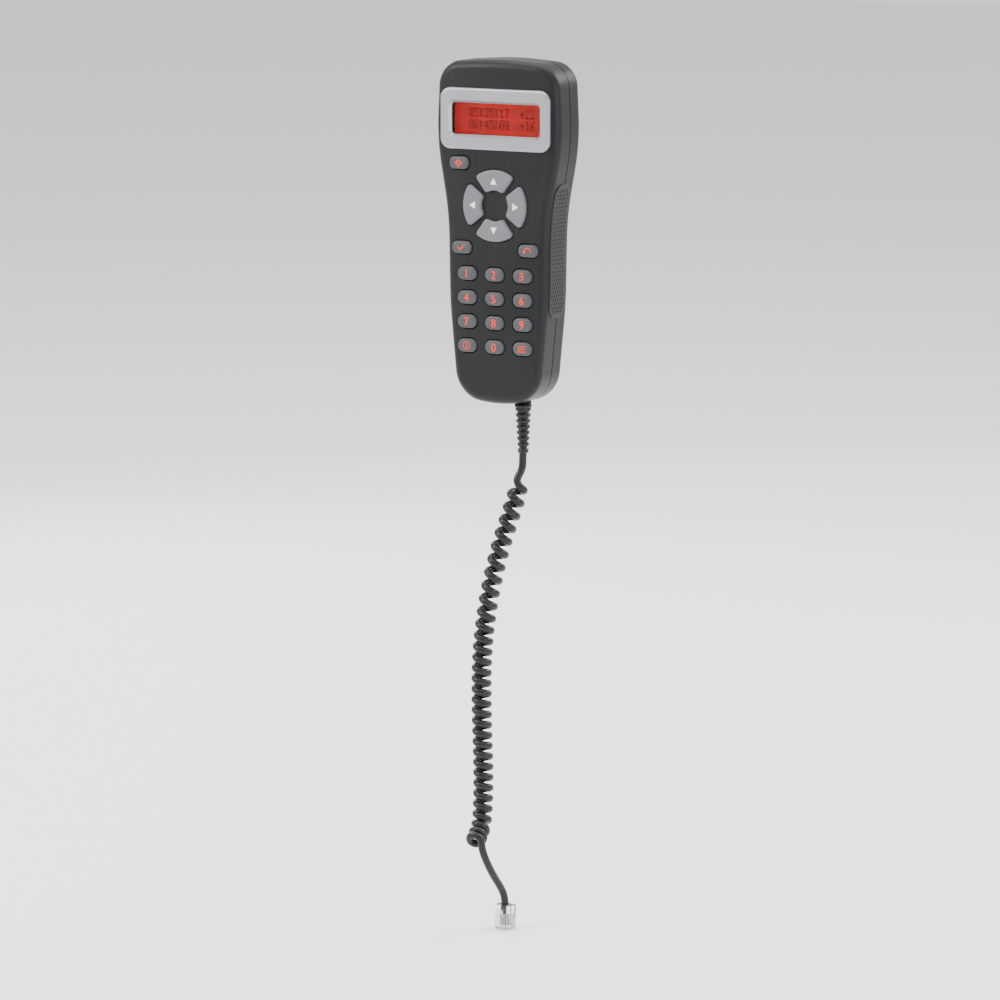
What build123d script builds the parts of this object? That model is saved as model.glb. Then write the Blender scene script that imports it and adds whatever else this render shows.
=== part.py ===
"""Hand controller for a motorised telescope mount, modelled as an assembly of separate pieces.

Millimetres.  The controller stands upright in its holder: +Z is up, the keypad faces -Y, +X is to
the right of a person reading the display, and the origin is at the middle of the flat rear face
that rests against the holder.  The curly cord hangs from the lower end.
"""
import os
from math import cos, pi, radians, sin, tan

from build123d import *

# ---------------------------------------------------------------- driving dimensions: the case
head_top = 90.0            # height of the top corners above the origin
foot_bottom = -91.0        # height of the lower corners
head_top_half_width = 36.4
head_half_width = 38.4     # widest place, at the display
waist_half_width = 31.0    # narrowest place between the display and the number pad
foot_half_width = 25.0
end_bulge = 2.4            # how far the top and bottom edges bow outwards
case_depth = 28.0          # rear face to the crown of the front face
crown_radius = 400.0       # sideways curvature of the front face
parting_depth = 13.0       # the two shells meet this far in front of the rear face
wall = 2.4
rear_wall = 2.2
front_inner = 24.4         # inner plane of the front wall
front_edge_radius = 4.5
rear_edge_radius = 5.0

# ---------------------------------------------------------------- display
display_z = 60.0
bezel_width, bezel_height = 67.0, 33.0
bezel_corner = 6.0
bezel_front = 28.9
bezel_back = 25.7
view_width, view_height = 54.0, 17.0
window_width, window_height, window_thick = 60.0, 22.0, 1.4
display_frame_width, display_frame_height = 58.5, 25.0
display_board_width, display_board_height = 68.0, 31.0
display_board_front, display_board_thick = 18.0, 1.6
display_post_x, display_post_z = 31.8, 12.8
display_frame_front, display_frame_sheet = 23.4, 0.5
glass_width, glass_height = 56.5, 22.5
glass_back, glass_front = 20.9, 22.8

# ---------------------------------------------------------------- keys
key_gap = 0.28             # clearance between a key and its hole
key_proud = 1.5
key_rim = 0.75             # flange that keeps a key behind the front wall
key_flange_thick = 1.1
flange_clearance = 0.1
plunger_radius = 2.2
pill_end = 20.3            # depth of the contact pill at rest
ring_centre_z = 14.0       # middle of the four direction keys
ring_inner, ring_outer = 8.3, 19.3
ring_half_angle = 37.0
dish_radius, dish_depth = 22.5, 0.9
pad_columns = (-17.0, 0.0, 17.0)
pad_rows = (-23.0, -36.0, -49.0, -62.0)
pad_key_width, pad_key_height = 11.6, 7.4
function_key_width, function_key_height, function_key_corner = 11.8, 6.8, 3.0
direction_key_corner = 1.8
key_top_edge = 0.9

# ---------------------------------------------------------------- inside
mat_front, mat_back = 21.8, 20.8
board_front, board_back = 19.0, 17.4
board_post_places = ((-23.5, 22.0), (23.5, 22.0), (-8.5, -55.5), (8.5, -55.5))
board_post_radius = 2.3
board_screw_radius = 0.95
case_screw_places = ((-27.0, 81.0), (27.0, 81.0), (-18.5, -74.5), (18.5, -74.5))
case_boss_radius = 3.0
case_screw_radius = 1.25
case_screw_tip = 20.5
case_screw_seat = 2.6      # depth of the wells in the rear face
case_screw_head_height, case_screw_head_radius = 1.9, 2.7
case_well_radius = 3.1
rear_pad_z, rear_pad_width, rear_pad_height, rear_pad_corner = 42.0, 44.0, 34.0, 8.0
rear_pad_back, rear_pad_front = 0.05, 0.9
grip_low, grip_high = -46.0, 26.0
grip_back, grip_front = 5.5, 22.5
grip_proud, grip_sunk = 0.7, 0.9
grip_corner = 7.0
grip_rib_pitch, grip_rib_gap, grip_rib_depth = 4.0, 1.3, 0.45
grip_rib_margin, grip_rib_end = 2.5, 8.0   # from the grip's edges and ends to its grooves

# ---------------------------------------------------------------- serial jack (4P4C)
jack_x = -8.5
jack_width, jack_height, jack_length = 11.2, 11.6, 13.0
jack_mouth_z = -91.2
jack_slot_width, jack_slot_height, jack_slot_length = 7.8, 6.6, 11.0

# ---------------------------------------------------------------- cord and plug (6P6C)
cord_radius = 2.1
coil_outer_radius = 5.75
cord_x, cord_depth = 9.0, 13.0
cord_inner_end_z = -81.5
boot_end_z = -120.5
boot_top_radius, boot_end_radius = 4.4, 3.0
boot_flange_radius = 5.4
boot_flange_top, boot_flange_bottom = -86.6, -89.0
hang_plane_angle = 30.0    # the cord drifts in a vertical plane turned this far from the front
hang_height = 250.0        # boot end to the plug's cord entry
hang_across = 9.6          # how far the plug hangs to the left of the boot, in that plane
plug_z = boot_end_z - hang_height
plug_width, plug_height, plug_length = 9.65, 6.6, 13.0
plug_entry_depth = 5.0
latch_length, latch_thick, latch_lift = 11.0, 0.8, 2.2


# ---------------------------------------------------------------- helpers
def front_plane(depth):
    """A drawing plane facing the front, this far in front of the rear face."""
    return Plane.XZ.offset(depth)


def slab(sketch, back, front):
    """Extrude a sketch drawn in (x, z) between two depths."""
    return extrude(front_plane(back) * sketch, amount=front - back, dir=(0, -1, 0))


def box_between(x_range, depth_range, z_range):
    """A block between two x, two depths and two z."""
    size = [abs(high - low) for low, high in (x_range, depth_range, z_range)]
    middle = [sum(x_range) / 2, -sum(depth_range) / 2, sum(z_range) / 2]
    return Pos(*middle) * Box(*size)


def rod(x, z, radius, back, front):
    """A round bar along Y."""
    return slab(Pos(x, z) * Circle(radius), back, front)


def rounded(x, z, width, height, corner):
    """A rectangle with round corners, drawn in (x, z)."""
    return Pos(x, z) * RectangleRounded(width, height, corner)


def crown_depth(x):
    """Depth of the crowned front face at this x."""
    return case_depth - x * x / (2 * crown_radius)


def write(name, shape):
    """Write one node."""
    export_step(shape, f"parts/{name}.step")


# ---------------------------------------------------------------- case
def case_outline(grow=0.0):
    """The outline of the case seen from the front, grown or shrunk sideways."""
    right = [
        (head_top_half_width, head_top, 14.0),
        (head_half_width, 48.0, 120.0),
        (waist_half_width, 8.0, 150.0),
        (waist_half_width - 0.9, -40.0, 220.0),
        (foot_half_width, foot_bottom, 18.0),
    ]
    left = [(-x, z, radius) for x, z, radius in reversed(right)]
    corners = [(0, head_top + end_bulge, 200.0), *right, (0, foot_bottom - end_bulge, 80.0), *left]
    line = FilletPolyline(*[(x, z) for x, z, _ in corners], radius=[r for _, _, r in corners], close=True)
    face = make_face(line)
    if grow:
        face = offset(face, amount=grow)
    return face


def case_body():
    """The outside of the closed case."""
    body = slab(case_outline(), 0, case_depth + 2)
    crown = Pos(0, crown_radius - case_depth, 0) * Cylinder(crown_radius, 400)
    body = body & crown
    rim = body.edges().filter_by(lambda e: e.center().Y < -(case_depth - 4))
    body = fillet(rim, front_edge_radius)
    rear = body.edges().filter_by(lambda e: abs(e.center().Y) < 0.01)
    return fillet(rear, rear_edge_radius)


def case_cavity():
    """The hollow inside the case."""
    hollow = slab(case_outline(-wall), rear_wall, front_inner)
    front_rim = hollow.edges().filter_by(lambda e: abs(e.center().Y + front_inner) < 0.01)
    hollow = fillet(front_rim, 2.0)
    rear_rim = hollow.edges().filter_by(lambda e: abs(e.center().Y + rear_wall) < 0.01)
    return fillet(rear_rim, 2.5)


def lip_ring(outer_grow, inner_grow, back, front):
    """A ring that follows the case outline."""
    return slab(case_outline(outer_grow) - case_outline(inner_grow), back, front)


def grip_prism(side):
    """The space of one side grip, seen from the side."""
    depth_middle = (grip_back + grip_front) / 2
    z_middle = (grip_low + grip_high) / 2
    shape = Plane.YZ * Pos(-depth_middle, z_middle) * RectangleRounded(
        grip_front - grip_back, grip_high - grip_low, grip_corner)
    return extrude(shape, amount=60 * side)


def grip_ring(outer_grow):
    """The band that a grip is cut from."""
    return lip_ring(outer_grow, -grip_sunk, grip_back - 1, grip_front + 1)


def side_grip(side):
    """One rubber side grip with finger ribs."""
    grip = grip_ring(grip_proud) & grip_prism(side)
    skin = grip_ring(grip_proud + 1) - grip_ring(grip_proud - grip_rib_depth)
    depths = (grip_back + grip_rib_margin, grip_front - grip_rib_margin)
    z = grip_low + grip_rib_end
    while z <= grip_high - grip_rib_end:
        groove = box_between((side * 20, side * 45), depths, (z, z + grip_rib_gap))
        grip = grip - (skin & groove)
        z += grip_rib_pitch
    return grip


def jack_cut():
    """The opening for the jack in the lower end of both shells."""
    half = jack_width / 2 + 0.15
    return box_between(
        (jack_x - half, jack_x + half),
        (board_back - jack_height - 0.15, board_back + 0.1),
        (foot_bottom - 8, foot_bottom + 6))


def boot_cut():
    """The round opening for the cord's strain relief, with the seat of its inner flange."""
    neck = Pos(0, 0, foot_bottom) * Cylinder(boot_top_radius, 16)
    seat = Pos(0, 0, (boot_flange_top + boot_flange_bottom) / 2) * Cylinder(
        boot_flange_radius, boot_flange_top - boot_flange_bottom)
    return Pos(cord_x, -cord_depth, 0) * (neck + seat)


def parting_groove():
    """The fine shadow groove where the shells meet."""
    return lip_ring(2, -0.45, parting_depth - 0.3, parting_depth + 0.3)


def direction_dish():
    """The shallow round dish that the direction keys sit in."""
    radius = (dish_radius**2 + dish_depth**2) / (2 * dish_depth)
    return Pos(0, -(case_depth - dish_depth + radius), ring_centre_z) * Sphere(radius)


def key_hole(outline):
    """One key's hole, with a bevelled mouth."""
    middle = outline.center()
    face = crown_depth(middle.X)
    hole = slab(offset(outline, amount=key_gap), front_inner - 1, case_depth + 3)
    mouth = front_plane(face - 0.5) * offset(outline, amount=key_gap)
    return hole + extrude(mouth, amount=1.2, dir=(0, -1, 0), taper=-35)


def front_shell(body, cavity):
    """The front half of the case, with the keypad and display openings."""
    front_half = box_between((-60, 60), (parting_depth, 40), (-120, 120))
    shell = (body & front_half) - cavity - parting_groove() - direction_dish()
    shell = shell - lip_ring(-1.15, -wall - 0.5, parting_depth, parting_depth + 1.9)
    for x, z in case_screw_places:
        shell = shell + rod(x, z, case_boss_radius, parting_depth, front_inner)
        shell = shell - rod(x, z, case_screw_radius, parting_depth, case_screw_tip + 0.6)
    for x, z in board_post_places:
        shell = shell + rod(x, z, board_post_radius, board_front, front_inner)
        shell = shell - rod(x, z, board_screw_radius, board_front, front_inner - 0.6)
    for x, z in display_post_places():
        shell = shell + rod(x, z, board_post_radius, display_board_front, front_inner)
        shell = shell - rod(x, z, board_screw_radius, display_board_front, front_inner - 0.6)
    for outline in key_outlines().values():
        shell = shell - key_hole(outline)
    recess = rounded(0, display_z, bezel_width + 0.1, bezel_height + 0.1, bezel_corner)
    opening = rounded(0, display_z, window_width - 2, window_height - 2, 2.0)
    shell = shell - slab(recess, bezel_back, case_depth + 3)
    shell = shell - slab(opening, front_inner - 1, bezel_back)
    shell = shell - jack_cut() - boot_cut()
    for side in (-1, 1):
        shell = shell - (grip_ring(5) & grip_prism(side))
    return shell


def rear_shell(body, cavity):
    """The rear half of the case, with screw wells and hollow screw pillars."""
    rear_half = box_between((-60, 60), (-5, parting_depth), (-120, 120))
    shell = (body & rear_half) - cavity - parting_groove()
    shell = shell + lip_ring(-1.25, -wall, parting_depth - 2, parting_depth + 1.7)
    for x, z in case_screw_places:
        shell = shell + rod(x, z, case_boss_radius, rear_wall, parting_depth)
        shell = shell + rod(x, z, case_well_radius + 1.1, rear_wall, case_screw_seat + 1.6)
        shell = shell - rod(x, z, case_well_radius, 0, case_screw_seat)
        shell = shell - rod(x, z, case_screw_radius + 0.25, case_screw_seat, parting_depth)
    for z in (-22.0, 0.0, 22.0):
        rib = box_between((-26, 26), (rear_wall - 0.2, 3.8), (z - 0.7, z + 0.7))
        shell = shell + (rib & cavity_side())
    shell = shell - jack_cut() - boot_cut()
    for side in (-1, 1):
        shell = shell - (grip_ring(5) & grip_prism(side))
    return shell - rear_pad_solid(0)


def cavity_side():
    """The space just inside the rear wall, which the stiffening ribs may fill."""
    return slab(case_outline(-wall - 1), 0, 6)


def rear_pad_solid(back):
    """The soft pad let into the upper part of the rear face, from this depth."""
    outline = rounded(0, rear_pad_z, rear_pad_width, rear_pad_height, rear_pad_corner)
    return slab(outline, back, rear_pad_front)


def rear_pad():
    """The soft anti-slip pad, a hair below the rest face."""
    groove_pitch, groove_width, groove_height = 6.0, 36.0, 1.4
    pad = rear_pad_solid(rear_pad_back)
    for row in range(-2, 3):
        groove = rounded(0, rear_pad_z + groove_pitch * row, groove_width, groove_height, 0.6)
        pad = pad - slab(groove, rear_pad_back, rear_pad_front / 2)
    return pad


def case_screws():
    """The four screws that close the case."""
    head = (case_screw_head_height, case_screw_head_radius)
    screws = [screw(x, z, case_screw_seat, *head, case_screw_radius, case_screw_tip) for x, z in case_screw_places]
    return Compound(screws)


def screw(x, z, seat, head_height, head_radius, shank_radius, tip):
    """A pan-head screw driven from the rear, with a cross recess."""
    head = rod(x, z, head_radius, seat - head_height, seat)
    top = head.edges().filter_by(lambda e: abs(e.center().Y + (seat - head_height)) < 0.01)
    head = fillet(top, min(0.6, head_height * 0.4))
    shank = rod(x, z, shank_radius, seat, tip)
    recess = head_radius * 0.55
    slot = head_radius * 0.16
    depth = seat - head_height
    cross = box_between((x - recess, x + recess), (depth - 1, depth + head_height * 0.5), (z - slot, z + slot))
    other = box_between((x - slot, x + slot), (depth - 1, depth + head_height * 0.5), (z - recess, z + recess))
    return (head + shank - cross - other).solid()


# ---------------------------------------------------------------- display
def display_post_places():
    """The four corners that hold the display's board."""
    return [(sx * display_post_x, display_z + sz * display_post_z) for sx in (-1, 1) for sz in (-1, 1)]


def display_bezel():
    """The frame round the display window, with sloped inner walls."""
    outer = slab(rounded(0, display_z, bezel_width, bezel_height, bezel_corner), bezel_back, bezel_front)
    front_rim = outer.edges().filter_by(lambda e: abs(e.center().Y + bezel_front) < 0.01)
    outer = fillet(front_rim, 1.2)
    seat_depth = bezel_back + window_thick + 0.05
    seat = slab(rounded(0, display_z, window_width + 0.1, window_height + 0.1, 2.5), bezel_back, seat_depth)
    near = front_plane(seat_depth) * rounded(0, display_z, view_width, view_height, 2.0)
    far = front_plane(bezel_front + 0.01) * rounded(0, display_z, view_width + 2.6, view_height + 2.6, 3.0)
    return outer - seat - loft([near.face(), far.face()])


def display_window():
    """The clear window behind the bezel's lip."""
    return slab(rounded(0, display_z, window_width, window_height, 2.5), bezel_back, bezel_back + window_thick)


def display_gasket():
    """The foam ring between the window and the display."""
    outer = rounded(0, display_z, window_width - 2.4, window_height - 2.4, 2.0)
    inner = rounded(0, display_z, view_width + 0.4, view_height + 0.4, 1.0)
    return slab(outer - inner, display_frame_front + 0.1, bezel_back)


def display_frame():
    """The folded metal frame that clamps the display glass to its board."""
    width, height, sheet = display_frame_width, display_frame_height, display_frame_sheet
    shell = slab(Pos(0, display_z) * Rectangle(width, height), display_board_front, display_frame_front)
    inner = Pos(0, display_z) * Rectangle(width - 2 * sheet, height - 2 * sheet)
    opening = Pos(0, display_z) * Rectangle(view_width + 1.0, view_height + 1.0)
    shell = shell - slab(inner, display_board_front, display_frame_front - sheet)
    return shell - slab(opening, glass_front, bezel_back)


def display_glass():
    """The liquid crystal cell."""
    return slab(Pos(0, display_z) * Rectangle(glass_width, glass_height), glass_back, glass_front)


def display_backlight():
    """The white light guide behind the cell."""
    guide = Pos(0, display_z) * Rectangle(glass_width, glass_height - 0.5)
    return slab(guide, display_board_front, glass_back - 0.1)


def display_board():
    """The display's circuit board, with its four screw holes."""
    front = display_board_front
    outline = Pos(0, display_z) * Rectangle(display_board_width, display_board_height)
    board = slab(outline, front - display_board_thick, front)
    for x, z in display_post_places():
        board = board - rod(x, z, board_screw_radius + 0.2, front - 2, front)
    return board


def display_ribbon():
    """The flat cable from the display's board down to the main board."""
    rear_of_display = display_board_front - display_board_thick
    side_profile = [
        (-rear_of_display, 50.0), (-rear_of_display, 44.0), (-board_back, 40.2), (-board_back, 34.0),
        (-board_back + 0.35, 34.0), (-board_back + 0.35, 40.4), (-rear_of_display + 0.35, 44.2),
        (-rear_of_display + 0.35, 50.0),
    ]
    profile = make_face(Plane.YZ * Polyline(*side_profile, close=True))
    return Pos(-13, 0, 0) * extrude(profile, amount=26, dir=(1, 0, 0))


def fixing_screws(places, board_rear):
    """The small screws that hold a board to the front shell's posts."""
    tip = front_inner - 1.0
    return Compound([screw(x, z, board_rear, 1.2, 1.9, board_screw_radius, tip) for x, z in places])


# ---------------------------------------------------------------- keys
def direction_key(angle):
    """A quarter of the direction ring, centred on this angle from +X."""
    centre = (0, ring_centre_z)
    start, end = angle - ring_half_angle, angle + ring_half_angle
    turns = (start, angle, end)
    corners = [polar(centre, radius, turn) for radius in (ring_inner, ring_outer) for turn in turns]
    inner = ThreePointArc(corners[0], corners[1], corners[2])
    outer = ThreePointArc(corners[3], corners[4], corners[5])
    line = inner + Line(corners[2], corners[5]) + outer + Line(corners[3], corners[0])
    face = make_face(line)
    return fillet(face.vertices(), direction_key_corner)


def polar(centre, radius, angle):
    """A point at this radius and angle from a centre."""
    return (centre[0] + radius * cos(radians(angle)), centre[1] + radius * sin(radians(angle)))


def function_key(x, z):
    """The outline of one of the keys round the direction ring."""
    return rounded(x, z, function_key_width, function_key_height, function_key_corner)


def key_outlines():
    """Every key's outline in (x, z), by node name."""
    outlines = {
        "key_right": direction_key(0),
        "key_up": direction_key(90),
        "key_left": direction_key(180),
        "key_down": direction_key(270),
        "key_align": function_key(-22.0, 36.2),
        "key_enter": function_key(-20.4, -9.2),
        "key_undo": function_key(20.4, -9.2),
    }
    faces = ("1", "2", "3", "4", "5", "6", "7", "8", "9", "info", "0", "menu")
    for index, face in enumerate(faces):
        x = pad_columns[index % 3]
        z = pad_rows[index // 3]
        outlines[f"key_{face}"] = rounded(x, z, pad_key_width, pad_key_height, pad_key_height / 2 - 0.01)
    return outlines


def key(outline):
    """One key: a crowned cap, the flange that keeps it in, and its contact plunger."""
    middle = outline.center()
    x, z = middle.X, middle.Y
    flange_front = front_inner - flange_clearance
    flange_back = flange_front - key_flange_thick
    cap = slab(outline, flange_front, crown_depth(x) + key_proud)
    top = cap.edges().filter_by(lambda e: e.center().Y < -(crown_depth(x) + key_proud - 0.05))
    cap = fillet(top, key_top_edge)
    flange = slab(offset(outline, amount=key_rim), flange_back, flange_front)
    plunger = rod(x, z, plunger_radius, pill_end, flange_back)
    return (cap + flange + plunger).solid()


# ---------------------------------------------------------------- keypad mat and boards
def keypad_mat():
    """The silicone mat: a sheet with a hole at each key's plunger and a rim that stands on the board."""
    span = slab(Pos(0, -15) * Rectangle(60, 110), mat_back, mat_front)
    mat = span & slab(case_outline(-wall - 1.2), mat_back, mat_front)
    rim_outer = board_outline(-0.6)
    rim = slab(rim_outer - offset(rim_outer, amount=-1.4), board_front, mat_back)
    mat = mat & slab(offset(board_outline(0), amount=0.4), mat_back, mat_front)
    mat = mat + rim
    for outline in key_outlines().values():
        middle = outline.center()
        mat = mat - rod(middle.X, middle.Y, plunger_radius + 0.45, board_front, mat_front + 1)
    for x, z in board_post_places:
        mat = mat - rod(x, z, board_post_radius + 0.3, board_front, mat_front + 1)
    return mat.solids().sort_by(SortBy.VOLUME)[-1]


def board_outline(grow):
    """The main board seen from the front: wide at the direction keys, with a tongue for the jack."""
    points = [
        (-27, 40), (27, 40), (27, 4), (22.5, -6), (22.5, -69.5), (14.5, -69.5), (14.5, -72.5),
        (-1.5, -72.5), (-1.5, -87.5), (-14.8, -87.5), (-14.8, -69.5), (-22.5, -69.5), (-22.5, -6), (-27, 4),
    ]
    face = make_face(Polyline(*points, close=True))
    if grow:
        face = offset(face, amount=grow, kind=Kind.INTERSECTION)
    return face


def main_board():
    """The main circuit board."""
    board = slab(board_outline(0), board_back, board_front)
    for x, z in board_post_places:
        board = board - rod(x, z, board_screw_radius + 0.2, board_back - 1, board_front + 1)
    return board


def key_contacts():
    """The gold contact pads on the board, one below each key."""
    pads = []
    for outline in key_outlines().values():
        middle = outline.center()
        pads.append(rod(middle.X, middle.Y, plunger_radius + 0.2, board_front, board_front + 0.05).solid())
    return Compound(pads)


def controller_chip():
    """The processor, in a flat square package with its legs."""
    body = box_between((-7, 7), (board_back - 1.9, board_back - 0.3), (-3, 11))
    for step in range(11):
        place = -5 + step
        body = body + box_between((place - 0.2, place + 0.2), (board_back - 1.0, board_back), (-4, 12))
        body = body + box_between((-8, 8), (board_back - 1.0, board_back), (4 + place - 0.2, 4 + place + 0.2))
    return body.solid()


def memory_chip():
    """The memory beside the processor."""
    body = box_between((12, 18), (board_back - 1.8, board_back - 0.25), (-2, 6))
    for step in range(4):
        z = -0.5 + 1.6 * step
        body = body + box_between((10.8, 19.2), (board_back - 0.9, board_back), (z - 0.25, z + 0.25))
    return body.solid()


def clock_crystal():
    """The processor's crystal in its oval can."""
    can = slab(rounded(-15, 4, 4.2, 10.5, 2.05), board_back - 3.2, board_back)
    return fillet(can.edges().filter_by(lambda e: e.center().Y > -(board_back - 3.2) - 0.01), 0.5)


def small_parts():
    """Resistors and capacitors on the rear of the board."""
    parts = []
    for row in range(4):
        for column in range(5):
            x = -16 + 8 * column
            z = -20 - 9 * row
            length = 2.0 if (row + column) % 2 else 1.6
            parts.append(box_between(
                (x - length / 2, x + length / 2), (board_back - 0.6, board_back), (z - 0.6, z + 0.6)).solid())
    for x in (-12.0, 12.0):
        parts.append(rod(x, 22.0, 2.5, board_back - 5.5, board_back).solid())
    return Compound(parts)


def key_lamps():
    """The small lamps that light the keys from the board."""
    places = [(x, z) for x in (-8.5, 8.5) for z in (-29.5, -42.5)]
    places += [(x, z) for x in (-13.0, 13.0) for z in (27.5, 0.5)]
    lamps = []
    for x, z in places:
        lamp = box_between((x - 0.8, x + 0.8), (board_front, board_front + 0.8), (z - 0.4, z + 0.4))
        lamps.append(lamp.solid())
    return Compound(lamps)


# ---------------------------------------------------------------- jack, cord entry
def jack_middle_depth():
    """Depth of the middle of the jack."""
    return board_back - jack_height / 2


def serial_jack():
    """The jack's housing, with its keyed socket open downwards."""
    half = jack_width / 2
    body = box_between(
        (jack_x - half, jack_x + half),
        (board_back - jack_height, board_back),
        (jack_mouth_z, jack_mouth_z + jack_length))
    middle = jack_middle_depth()
    slot = box_between(
        (jack_x - jack_slot_width / 2, jack_x + jack_slot_width / 2),
        (middle - jack_slot_height / 2, middle + jack_slot_height / 2),
        (jack_mouth_z - 1, jack_mouth_z + jack_slot_length))
    key_way = box_between(
        (jack_x - 2.0, jack_x + 2.0),
        (middle - jack_slot_height / 2 - 1.6, middle - jack_slot_height / 2 + 0.1),
        (jack_mouth_z - 1, jack_mouth_z + jack_slot_length - 3))
    return (body - slot - key_way).solid()


def serial_contacts():
    """The four spring wires on the socket's wall."""
    wires = []
    wall_depth = jack_middle_depth() + jack_slot_height / 2
    for step in range(4):
        x = jack_x - 1.905 + 1.27 * step
        wire = box_between(
            (x - 0.22, x + 0.22),
            (wall_depth - 0.7, wall_depth),
            (jack_mouth_z + 1.5, jack_mouth_z + jack_slot_length))
        wires.append(wire.solid())
    return Compound(wires)


def cord_header():
    """The connector on the board that takes the cord's wires."""
    body = box_between((2.5, 15.5), (board_back - 4.0, board_back), (-71.2, -65.5))
    mouth = box_between((3.4, 14.6), (board_back - 3.2, board_back - 0.8), (-72, -67.5))
    return body - mouth


def cord_wires():
    """The six wires from the cord's jacket to the header."""
    wires = []
    for step in range(6):
        turn = radians(60 * step + 30)
        start = (cord_x + 1.1 * cos(turn), -cord_depth + 1.1 * sin(turn), cord_inner_end_z + 0.5)
        end_x = 4.5 + 1.8 * step
        end_depth = board_back - 2.0
        bend = (end_x, -end_depth, -75.5)
        end = (end_x, -end_depth, -67.6)
        path = FilletPolyline(start, bend, end, radius=2.0)
        wires.append(tube(path, 0.48).solid())
    return Compound(wires)


def cord_tie():
    """The tie that stops the cord from pulling out of the case."""
    tie_z = -84.4
    ring = Pos(cord_x, -cord_depth, tie_z) * (Cylinder(cord_radius + 1.1, 2.4) - Cylinder(cord_radius, 2.4))
    head = Pos(cord_x, -cord_depth + 4.1, tie_z) * Box(4.2, 3.2, 3.6)
    return (ring + head).solid()


def strain_relief():
    """The flexible boot: an inner flange, a neck in the case wall and a long taper outside."""
    wall_bottom = foot_bottom - end_bulge - 0.4
    groove_pitch, groove_width, groove_depth = 4.2, 1.4, 0.75
    flange = Pos(0, 0, (boot_flange_top + boot_flange_bottom) / 2) * Cylinder(
        boot_flange_radius, boot_flange_top - boot_flange_bottom)
    neck = Pos(0, 0, (boot_flange_bottom + wall_bottom) / 2) * Cylinder(
        boot_top_radius, boot_flange_bottom - wall_bottom)
    length = wall_bottom - boot_end_z
    taper = Pos(0, 0, wall_bottom - length / 2) * Cone(boot_end_radius, boot_top_radius, length)
    boot = flange + neck + taper
    for step in range(5):
        z = wall_bottom - 4.0 - groove_pitch * step
        radius = boot_top_radius - (boot_top_radius - boot_end_radius) * (wall_bottom - z) / length
        groove = Cylinder(10, groove_width) - Cylinder(radius - groove_depth, groove_width)
        boot = boot - Pos(0, 0, z) * groove
    boot = boot - Pos(0, 0, -100) * Cylinder(cord_radius, 60)
    return Pos(cord_x, -cord_depth, 0) * boot


# ---------------------------------------------------------------- cord
def hang_point(across, height, near=0.0):
    """A point of the hanging cord, from the plug's cord entry: across, up, and towards the viewer's side."""
    angle = radians(hang_plane_angle)
    plug_x = cord_x - hang_across * cos(angle)
    plug_y = -cord_depth - hang_across * sin(angle)
    x = plug_x + across * cos(angle) + near * sin(angle)
    y = plug_y + across * sin(angle) - near * cos(angle)
    return (x, y, plug_z + height)


def upper_lead_points():
    """The cord from inside the case down to the top of the coil."""
    inside = (cord_x, -cord_depth, cord_inner_end_z)
    return [inside, hang_point(hang_across, 237.5), coil_points()[0]]


def coil_points():
    """The axis of the coil: a slow drift down one side, then the last turns swing to face the front."""
    return [
        hang_point(6.9, 229.0),
        hang_point(-3.6, 196.0),
        hang_point(-9.6, 168.0),
        hang_point(-13.0, 138.0),
        hang_point(-12.9, 104.0),
        hang_point(-11.8, 74.0),
        hang_point(-12.4, 46.5, 0.3),
        hang_point(-15.0, 39.4, 6.2),
        hang_point(-16.6, 37.6, 13.0),
    ]


def lower_lead_points():
    """The cord from the last turn down to the plug."""
    return [
        coil_points()[-1],
        hang_point(-17.7, 36.35, 17.7),
        hang_point(-15.8, 32.5, 20.2),
        hang_point(-11.0, 25.5, 17.2),
        hang_point(-4.5, 16.5, 8.6),
        hang_point(0.0, 9.0),
        hang_point(0.0, -plug_entry_depth),
    ]


def bend_radii(points, smallest=0.0):
    """The largest arc each corner leaves room for: 0.45 of its shorter run over tan(half the turn)."""
    radii = []
    for before, at, after in zip(points, points[1:], points[2:]):
        run_in = Vector(at) - Vector(before)
        run_out = Vector(after) - Vector(at)
        turn = radians(run_in.get_angle(run_out))
        radii.append(max(0.45 * min(run_in.length, run_out.length) / tan(turn / 2), smallest))
    return radii


def tube(path, radius):
    """A round bar along a path."""
    return sweep(Plane(origin=path @ 0, z_dir=path % 0) * Circle(radius), path=path)


def cord_tube(name, points, radius):
    """A length of cord along its route; prints its radii and compares its volume with its length."""
    radii = bend_radii(points)
    path = FilletPolyline(*points, radius=radii)
    solid = tube(path, radius)
    exact = pi * radius**2 * path.length
    print(name, "length", round(path.length, 1), "radii", [round(r, 1) for r in radii],
          "volume ratio", round(solid.volume / exact, 4))
    return solid


# ---------------------------------------------------------------- plug
def plug_frame():
    """Where the plug hangs: its cord entry, with the nose downwards."""
    return Pos(*hang_point(0.0, 0.0))


def plug_body():
    """The clear plug body, with its cord entry, wire holes and contact slots."""
    body = Pos(0, 0, -plug_length / 2) * Box(plug_width, plug_height, plug_length)
    body = fillet(body.edges().filter_by(Axis.Z), 0.35)
    body = body - Pos(0, 0, -plug_entry_depth / 2) * Cylinder(cord_radius, plug_entry_depth)
    for x in wire_places():
        body = body - Pos(x, 0.6, -plug_entry_depth - 3.25) * Cylinder(0.5, 6.5)
        body = body - Pos(x, plug_height / 2 - 1.0, -9.7) * Box(0.5, 2.0, 4.6)
    ledge = Pos(0, -plug_height / 2 - 0.35, -plug_length + 0.9) * Box(6.2, 0.7, 1.8)
    return plug_frame() * (body + ledge).solid()


def wire_places():
    """The x of the six wires across the plug."""
    return [1.02 * (step - 2.5) for step in range(6)]


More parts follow.
